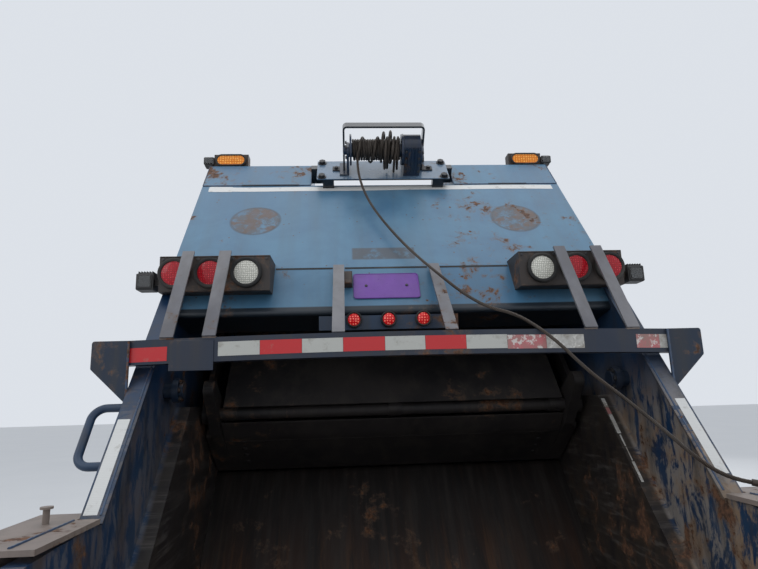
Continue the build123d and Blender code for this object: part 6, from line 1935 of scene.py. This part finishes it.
    def mirror_glass(self) -> None:
        """Flat and convex glasses, rims and clamps of both mirrors."""
        glass, black = Mesh(), Mesh()
        for side in (-1, 1):
            x = side * self.mirror_x
            glass.add(prism(rounded(0.16, 0.25, 0.02), 0.002, 0.0005), (x, 2.5245, 2.095), OUT_BACK)
            glass.add(prism(rounded(0.16, 0.11, 0.02), 0.003, 0.001), (x, 2.5245, 1.895), OUT_BACK)
            rim = [(px + x, 2.5235, pz + 2.035) for px, pz in rounded(0.168, 0.392, 0.024, 7)]
            black.add(tube(rim, 0.004, 8, closed=True))
            for z in (1.8, 2.262):
                black.add(lathe([(-0.022, 0.02), (0.022, 0.02)], 16), (x, 2.58, z))
        build_all("chassis", (glass, "mirror_glass", MIRROR), (black, "mirror_rims", BLACK))

    def build(self) -> None:
        """Build every part."""
        self.seals()
        self.wipers()
        self.roof()
        self.doors()
        self.rails()
        self.mirror_glass()


@dataclass
class HoodParts:
    """Lamp bezels, indicators, latches, louvres and grille mesh of the tilting hood."""

    # middle of a headlamp's bezel and of a latch: |x|, y, z
    lamp_at: Triple = (0.85, 3.912, 1.04)
    latch_at: Triple = (0.792, 2.69, 1.48)
    louvres: int = 6
    # upright and level wires of the grille
    wires: tuple[int, int] = (17, 24)

    def build(self) -> None:
        """Build the pieces that tilt with the hood."""
        chrome, amber, rubber, mesh = Mesh(), Mesh(), Mesh(), Mesh()
        front = axes(Y)
        for side in (-1, 1):
            x, y, z = np.multiply(self.lamp_at, (side, 1, 1))
            rim = [(px + x, y, pz + z) for px, pz in rounded(0.236, 0.156, 0.028, 7)]
            chrome.add(tube(rim, 0.007, 8, closed=True))
            amber.add(prism(rounded(0.2, 0.052, 0.012), 0.008, 0.003), (x, 3.893, 0.905), front)
            latch = np.multiply(self.latch_at, (side, 1, 1))
            rubber.add(box((0.034, 0.12, 0.018), 0.006), latch, axes(X * side))
            rubber.add(box((0.05, 0.022, 0.024), 0.006), latch + (0, 0.0, -0.06), axes(X * side))
            for k in range(self.louvres):
                y = 3.02 + 0.075 * k
                wide = 0.8 - (y - 2.655) * 0.16
                rubber.add(
                    box((0.052, 0.09, 0.006), 0.002), (side * (wide + 0.001), y, 1.44 - 0.02 * k),
                    axes((side, 0.16, 0)))
        upright, level = self.wires
        for k in range(upright):
            x = -0.384 + 0.048 * k
            mesh.add(box_between((x - 0.002, 3.872, 0.915), (x + 0.002, 3.878, 1.255), 0.0006))
        for k in range(level):
            z = 0.922 + 0.0144 * k
            mesh.add(box_between((-0.405, 3.871, z - 0.0008), (0.405, 3.873, z + 0.0008), 0.0003))
        build_all(
            "hood", (chrome, "headlamp_bezels", CHROME), (amber, "indicator_lenses", AMBER_LENS),
            (rubber, "hood_latches", RUBBER), (mesh, "grille_mesh", BLACK))


@dataclass
class ChassisParts:
    """Tanks, springs' clips, brake chambers, lines, straps and bolts below the body."""

    exhaust_at: Pair = (0.69, 1.2195)
    # middle of the fuel tank, x and z, and its straps' outer radius
    fuel_at: Pair = (-0.757, 0.65)
    strap_r: float = 0.2905
    tank_ys: Pair = (0.33, 0.9)
    rail_x: float = 0.432
    bolt_ys: tuple[float, ...] = (-1.72, -0.62, 0.3, 1.4)

    def axles(self) -> None:
        """U-bolts and plates at both axles, and the rear brake chambers."""
        steel, black = Mesh(), Mesh()
        for side in (-1, 1):
            for y, low, high in ((FRONT_AXLE_Y, 0.405, 0.61), (REAR_AXLE_Y, 0.43, 0.725)):
                x = side * 0.469
                for dy in (-0.062, 0.062):
                    hoop = [(x + dx, y + dy, z) for dx, z in (
                        (-0.039, low), (-0.039, high - 0.02), (-0.03, high), (0.03, high),
                        (0.039, high - 0.02), (0.039, low))]
                    steel.add(tube(hoop, 0.009, 8))
                    for leg in (-0.039, 0.039):
                        steel.add(bolt(0.016), (x + leg, y + dy, low + 0.004), axes(-Z, Y))
                black.add(box_between(
                    (x - 0.062, y - 0.085, low + 0.004), (x + 0.062, y + 0.085, low + 0.018), 0.003))
            chamber = np.array((side * 0.33, REAR_AXLE_Y + 0.235, 0.585))
            can = [
                (-0.085, 0.06), (-0.08, 0.076), (-0.012, 0.08), (-0.008, 0.086), (0.008, 0.086),
                (0.012, 0.08), (0.075, 0.078), (0.085, 0.06)]
            black.add(lathe(can, 32), chamber, axes(Y))
            black.add(tube([chamber + Y * -0.085, chamber + Y * -0.16 + Z * -0.01], 0.012, 10))
            black.add(box_between(chamber + (-0.05, -0.15, -0.09), chamber + (0.05, -0.138, 0.06), 0.003))
        build_all("chassis", (steel, "spring_clips", BOLT_STEEL), (black, "brake_chambers", CHASSIS))

    def tanks(self) -> None:
        """Two air tanks on the right rail, each on its brackets and straps."""
        black, steel = Mesh(), Mesh()
        for y in self.tank_ys:
            shell = [
                (-0.24, 0.03), (-0.232, 0.075), (-0.205, 0.104), (-0.19, 0.108), (0.19, 0.108),
                (0.205, 0.104), (0.232, 0.075), (0.24, 0.03)]
            centre = np.array((0.575, y, 0.79))
            black.add(lathe(shell, 40), centre, axes(Y))
            for dy in (-0.13, 0.13):
                strap = [
                    (x + centre[0], y + dy, z + centre[2]) for x, z in rounded(0.222, 0.222, 0.11, 8)]
                steel.add(tube(strap, 0.006, 6, closed=True))
                black.add(box_between((0.4325, y + dy - 0.02, 0.76), (0.472, y + dy + 0.02, 0.88), 0.003))
        build_all("chassis", (black, "air_tanks", CHASSIS), (steel, "tank_straps", BOLT_STEEL))

    def fuel(self) -> None:
        """Strap edges and cap of the fuel tank, and tread bars of its step."""
        rubber, chrome, steel = Mesh(), Mesh(), Mesh()
        x, z = self.fuel_at
        for y in (1.51, 2.11):
            for dy in (-0.031, 0.031):
                arc = [(x + self.strap_r * cos(a), y + dy, z + self.strap_r * sin(a)) for a in np.radians(
                    np.linspace(35, 325, 48))]
                rubber.add(tube(arc, 0.004, 6))
        cap = np.array((x - 0.1, 1.7, z + 0.266))
        chrome.add(
            lathe([(0, 0.045), (0.018, 0.045), (0.022, 0.04), (0.034, 0.038), (0.038, 0.03)], 32), cap,
            axes((-0.35, 0, 0.94)))
        for k in range(9):
            y = 1.56 + 0.062 * k
            steel.add(
                box_between((x - 0.255, y - 0.004, z + 0.29), (x - 0.02, y + 0.004, z + 0.296), 0.001))
        build_all(
            "chassis", (rubber, "tank_strap_edges", RUBBER), (chrome, "tank_cap", CHROME),
            (steel, "tank_step_bars", ALLOY))

    def frame_bolts(self) -> None:
        """Rows of rail bolts, air lines and the cable harness along the rails."""
        steel, rubber = Mesh(), Mesh()
        for side in (-1, 1):
            out = axes(X * side)
            for y0 in self.bolt_ys:
                for dy in (-0.03, 0.03):
                    for z in (0.8, 0.88):
                        steel.add(bolt(0.014), (side * self.rail_x, y0 + dy, z), out)
            for k, z in enumerate((0.915, 0.935, 0.955)):
                path = [(side * 0.415, y, z + 0.003 * sin(5 * y + k)) for y in np.linspace(-1.7, 2.4, 60)]
                rubber.add(tube(path, 0.006 if k else 0.009, 6))
        build_all("chassis", (steel, "rail_bolts", BOLT_STEEL), (rubber, "air_lines", RUBBER))

    def exhaust(self) -> None:
        """Perforated guard's rings, its slots as painted shade, clamps and elbow of the exhaust."""
        chrome, black = Mesh(), Mesh()
        x, y = self.exhaust_at
        for z in (1.345, 2.255, 1.02, 1.12):
            radius = 0.0835 if z > 1.3 else 0.0515
            chrome.add(ring_of(radius, 0.0045, 48, 8), (x, y, z))
        # Painted shade: a thin black patch on the guard stands for the dark seen through each slot
        for row in range(14):
            for k in range(8):
                angle = radians(45 * k + (22.5 if row % 2 else 0))
                out = np.array((cos(angle), sin(angle), 0))
                spot = np.array((x, y, 1.45 + 0.055 * row)) + out * 0.0822
                black.add(prism(rounded(0.013, 0.04, 0.006, 4), 0.0006), spot, axes(out))
        pipe = [
            (x, y, 0.925), (x, y, 0.85), (0.66, y, 0.78), (0.53, y + 0.01, 0.735), (0.47, y + 0.06, 0.7)]
        chrome.add(tube(smooth_path(pipe, 40), 0.048, 20))
        build_all("chassis", (chrome, "exhaust_clamps", CHROME), (black, "exhaust_slot_shade", BLACK))

    def battery(self) -> None:
        """Latches and seam of the battery box, with tread bars on both steps."""
        steel, rubber = Mesh(), Mesh()
        for y in (1.55, 2.12):
            steel.add(box((0.04, 0.07, 0.014), 0.004), (0.996, y, 0.842), axes(X))
        rubber.add(tube([(0.9925, y, 0.812) for y in np.linspace(1.415, 2.255, 20)], 0.003, 6))
        for z in (0.452, 0.722):
            for k in range(10):
                y = 1.5 + 0.076 * k
                steel.add(box_between((0.996, y - 0.004, z), (1.118, y + 0.004, z + 0.005), 0.001))
        build_all(
            "chassis", (steel, "battery_box_latches", BOLT_STEEL), (rubber, "battery_box_seam", RUBBER))

    def build(self) -> None:
        """Build every part."""
        self.axles()
        self.tanks()
        self.fuel()
        self.frame_bolts()
        self.exhaust()
        self.battery()


@dataclass
class BodyParts:
    """Weld beads, hydraulic pipes with their end blocks, and reflectors of the refuse body."""

    posts: tuple[float, ...] = (-1.785, -1.227, -0.669, -0.111, 0.447, 1.005)
    elbow: float = 0.05
    skin_x: float = 1.0305
    pipe_x: float = 1.076
    # height and last y of both pipes
    pipe_runs: tuple[Pair, Pair] = ((2.7, -1.72), (2.735, -1.755))

    def build(self) -> None:
        """Build the pieces on both sides."""
        welds, pipes, clamps = Mesh(), Mesh(), Mesh()
        red, amber, rubber = Mesh(), Mesh(), Mesh()
        for side in (-1, 1):
            skin, x = side * self.skin_x, side * self.pipe_x
            for y in self.posts:
                for dy in (-0.0365, 0.0365):
                    if -1.82 < y + dy < 1.07:
                        welds.add(bead((skin, y + dy, 1.19), (skin, y + dy, 2.81), 0.003))
            for z, last in self.pipe_runs:
                path = [(x, y, z) for y in np.linspace(1.06, last, 40)]
                path += [
                    (x, last - self.elbow * sin(a), z - self.elbow * (1 - cos(a)))
                    for a in np.radians(np.linspace(10, 90, 9))]
                path.append((x, last - self.elbow, 2.6))
                pipes.add(tube(path, 0.009, 8))
            clamps.add(box_between((side * 1.064, -1.819, 2.572), (side * 1.088, -1.757, 2.61), 0.004))
            for y in self.posts[1:]:
                low, high = (side * 1.064, y - 0.016, 2.682), (side * 1.09, y + 0.016, 2.752)
                clamps.add(box_between(low, high, 0.004))
            out = axes(X * side)
            for y, mesh in ((-1.72, red), (1.0, amber), (-0.35, amber)):
                mesh.add(prism(rounded(0.1, 0.042, 0.012), 0.009, 0.003), (side * 1.0652, y, 1.15), out)
                rubber.add(
                    prism(rounded(0.116, 0.056, 0.016), 0.004, 0.001), (side * 1.0651, y, 1.15), out)
        build_all(
            "chassis", (welds, "body_welds", WELD_BLUE), (pipes, "body_pipes", BOLT_STEEL),
            (clamps, "pipe_clamps", BLACK), (red, "side_reflectors_red", RED_LENS),
            (amber, "side_reflectors_amber", AMBER_LENS), (rubber, "side_reflector_seats", RUBBER))


@dataclass
class PackerParts:
    """Plain plates over the packer's hinge line and its weld beads, square to the slide's way."""

    pivot: Triple = (0.0, -2.715, 1.66)
    slide_half: float = 0.767
    blade_half: float = 0.781
    # corners square to the way: forwards and up from the pivot
    slide_face: tuple[Pair, ...] = ((-0.059, -0.01), (-0.0553, -0.01), (-0.0553, 0.3), (-0.059, 0.3))
    blade_face: tuple[Pair, ...] = (
        (0.018, -0.0405), (0.095, -0.0525), (0.14, -0.0482), (0.14, -0.0455), (0.0955, -0.0487),
        (0.0185, -0.0365))

    def turn(self) -> Array:
        """Columns: forwards square to the way, up the way, and across the truck."""
        return np.column_stack(((0, SLOPE_UP[2], -SLOPE_UP[1]), SLOPE_UP, X))

    def plate(self, corners: Sequence[Pair], half: float) -> Shape:
        """Plate of one outline carried across the hopper from -half to half."""
        start = np.array(self.pivot) - X * half
        return turned(prism(corners, 2 * half, 0.0008), self.turn(), start)

    def line(self, forwards: float, up: float, half: float, radius: float) -> Shape:
        """Weld bead across the packer at one place in its section."""
        middle = np.array(self.pivot) + self.turn() @ np.array((forwards, up, 0.0))
        return bead(middle - X * half, middle + X * half, radius)

    def build(self) -> None:
        """Build both plates with their beads."""
        slide = Mesh().add(self.plate(self.slide_face, self.slide_half))
        slide.add(self.line(-0.057, 0.3015, self.slide_half, 0.003))
        slide.build("slide_plate", PACKER_RUST_AND_SHADE, "packer_slide")
        blade = Mesh().add(self.plate(self.blade_face, self.blade_half))
        blade.add(self.line(0.141, -0.0465, self.blade_half, 0.003))
        for side in (-1, 1):
            for forwards in (0.15, 0.21, 0.27, 0.33):
                low = np.array(self.pivot) + self.turn() @ np.array(
                    (forwards, -0.0437 + 0.0985 * (forwards - 0.15), side * 0.7))
                blade.add(rivet(0.012), low, np.column_stack((X, self.turn()[:, 0], -SLOPE_UP)))
        blade.build("blade_plate", PACKER_RUST_AND_SHADE, "packer_blade")


PARTS = (
    WinchRope, TailTapes, TailLamps, RearPlate, WinchParts, TailPanels, Wheels, Seats, CabInside,
    CabOutside, HoodParts, ChassisParts, BodyParts, PackerParts)


def main() -> None:
    """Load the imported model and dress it."""
    logging.basicConfig(level=logging.INFO, format="%(name)s: %(message)s")
    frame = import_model()
    Studio().build()
    dress_nodes(frame)
    for part in PARTS:
        part().build()
        LOG.info("%s built", part.__name__)


if __name__ == "__main__":
    main()
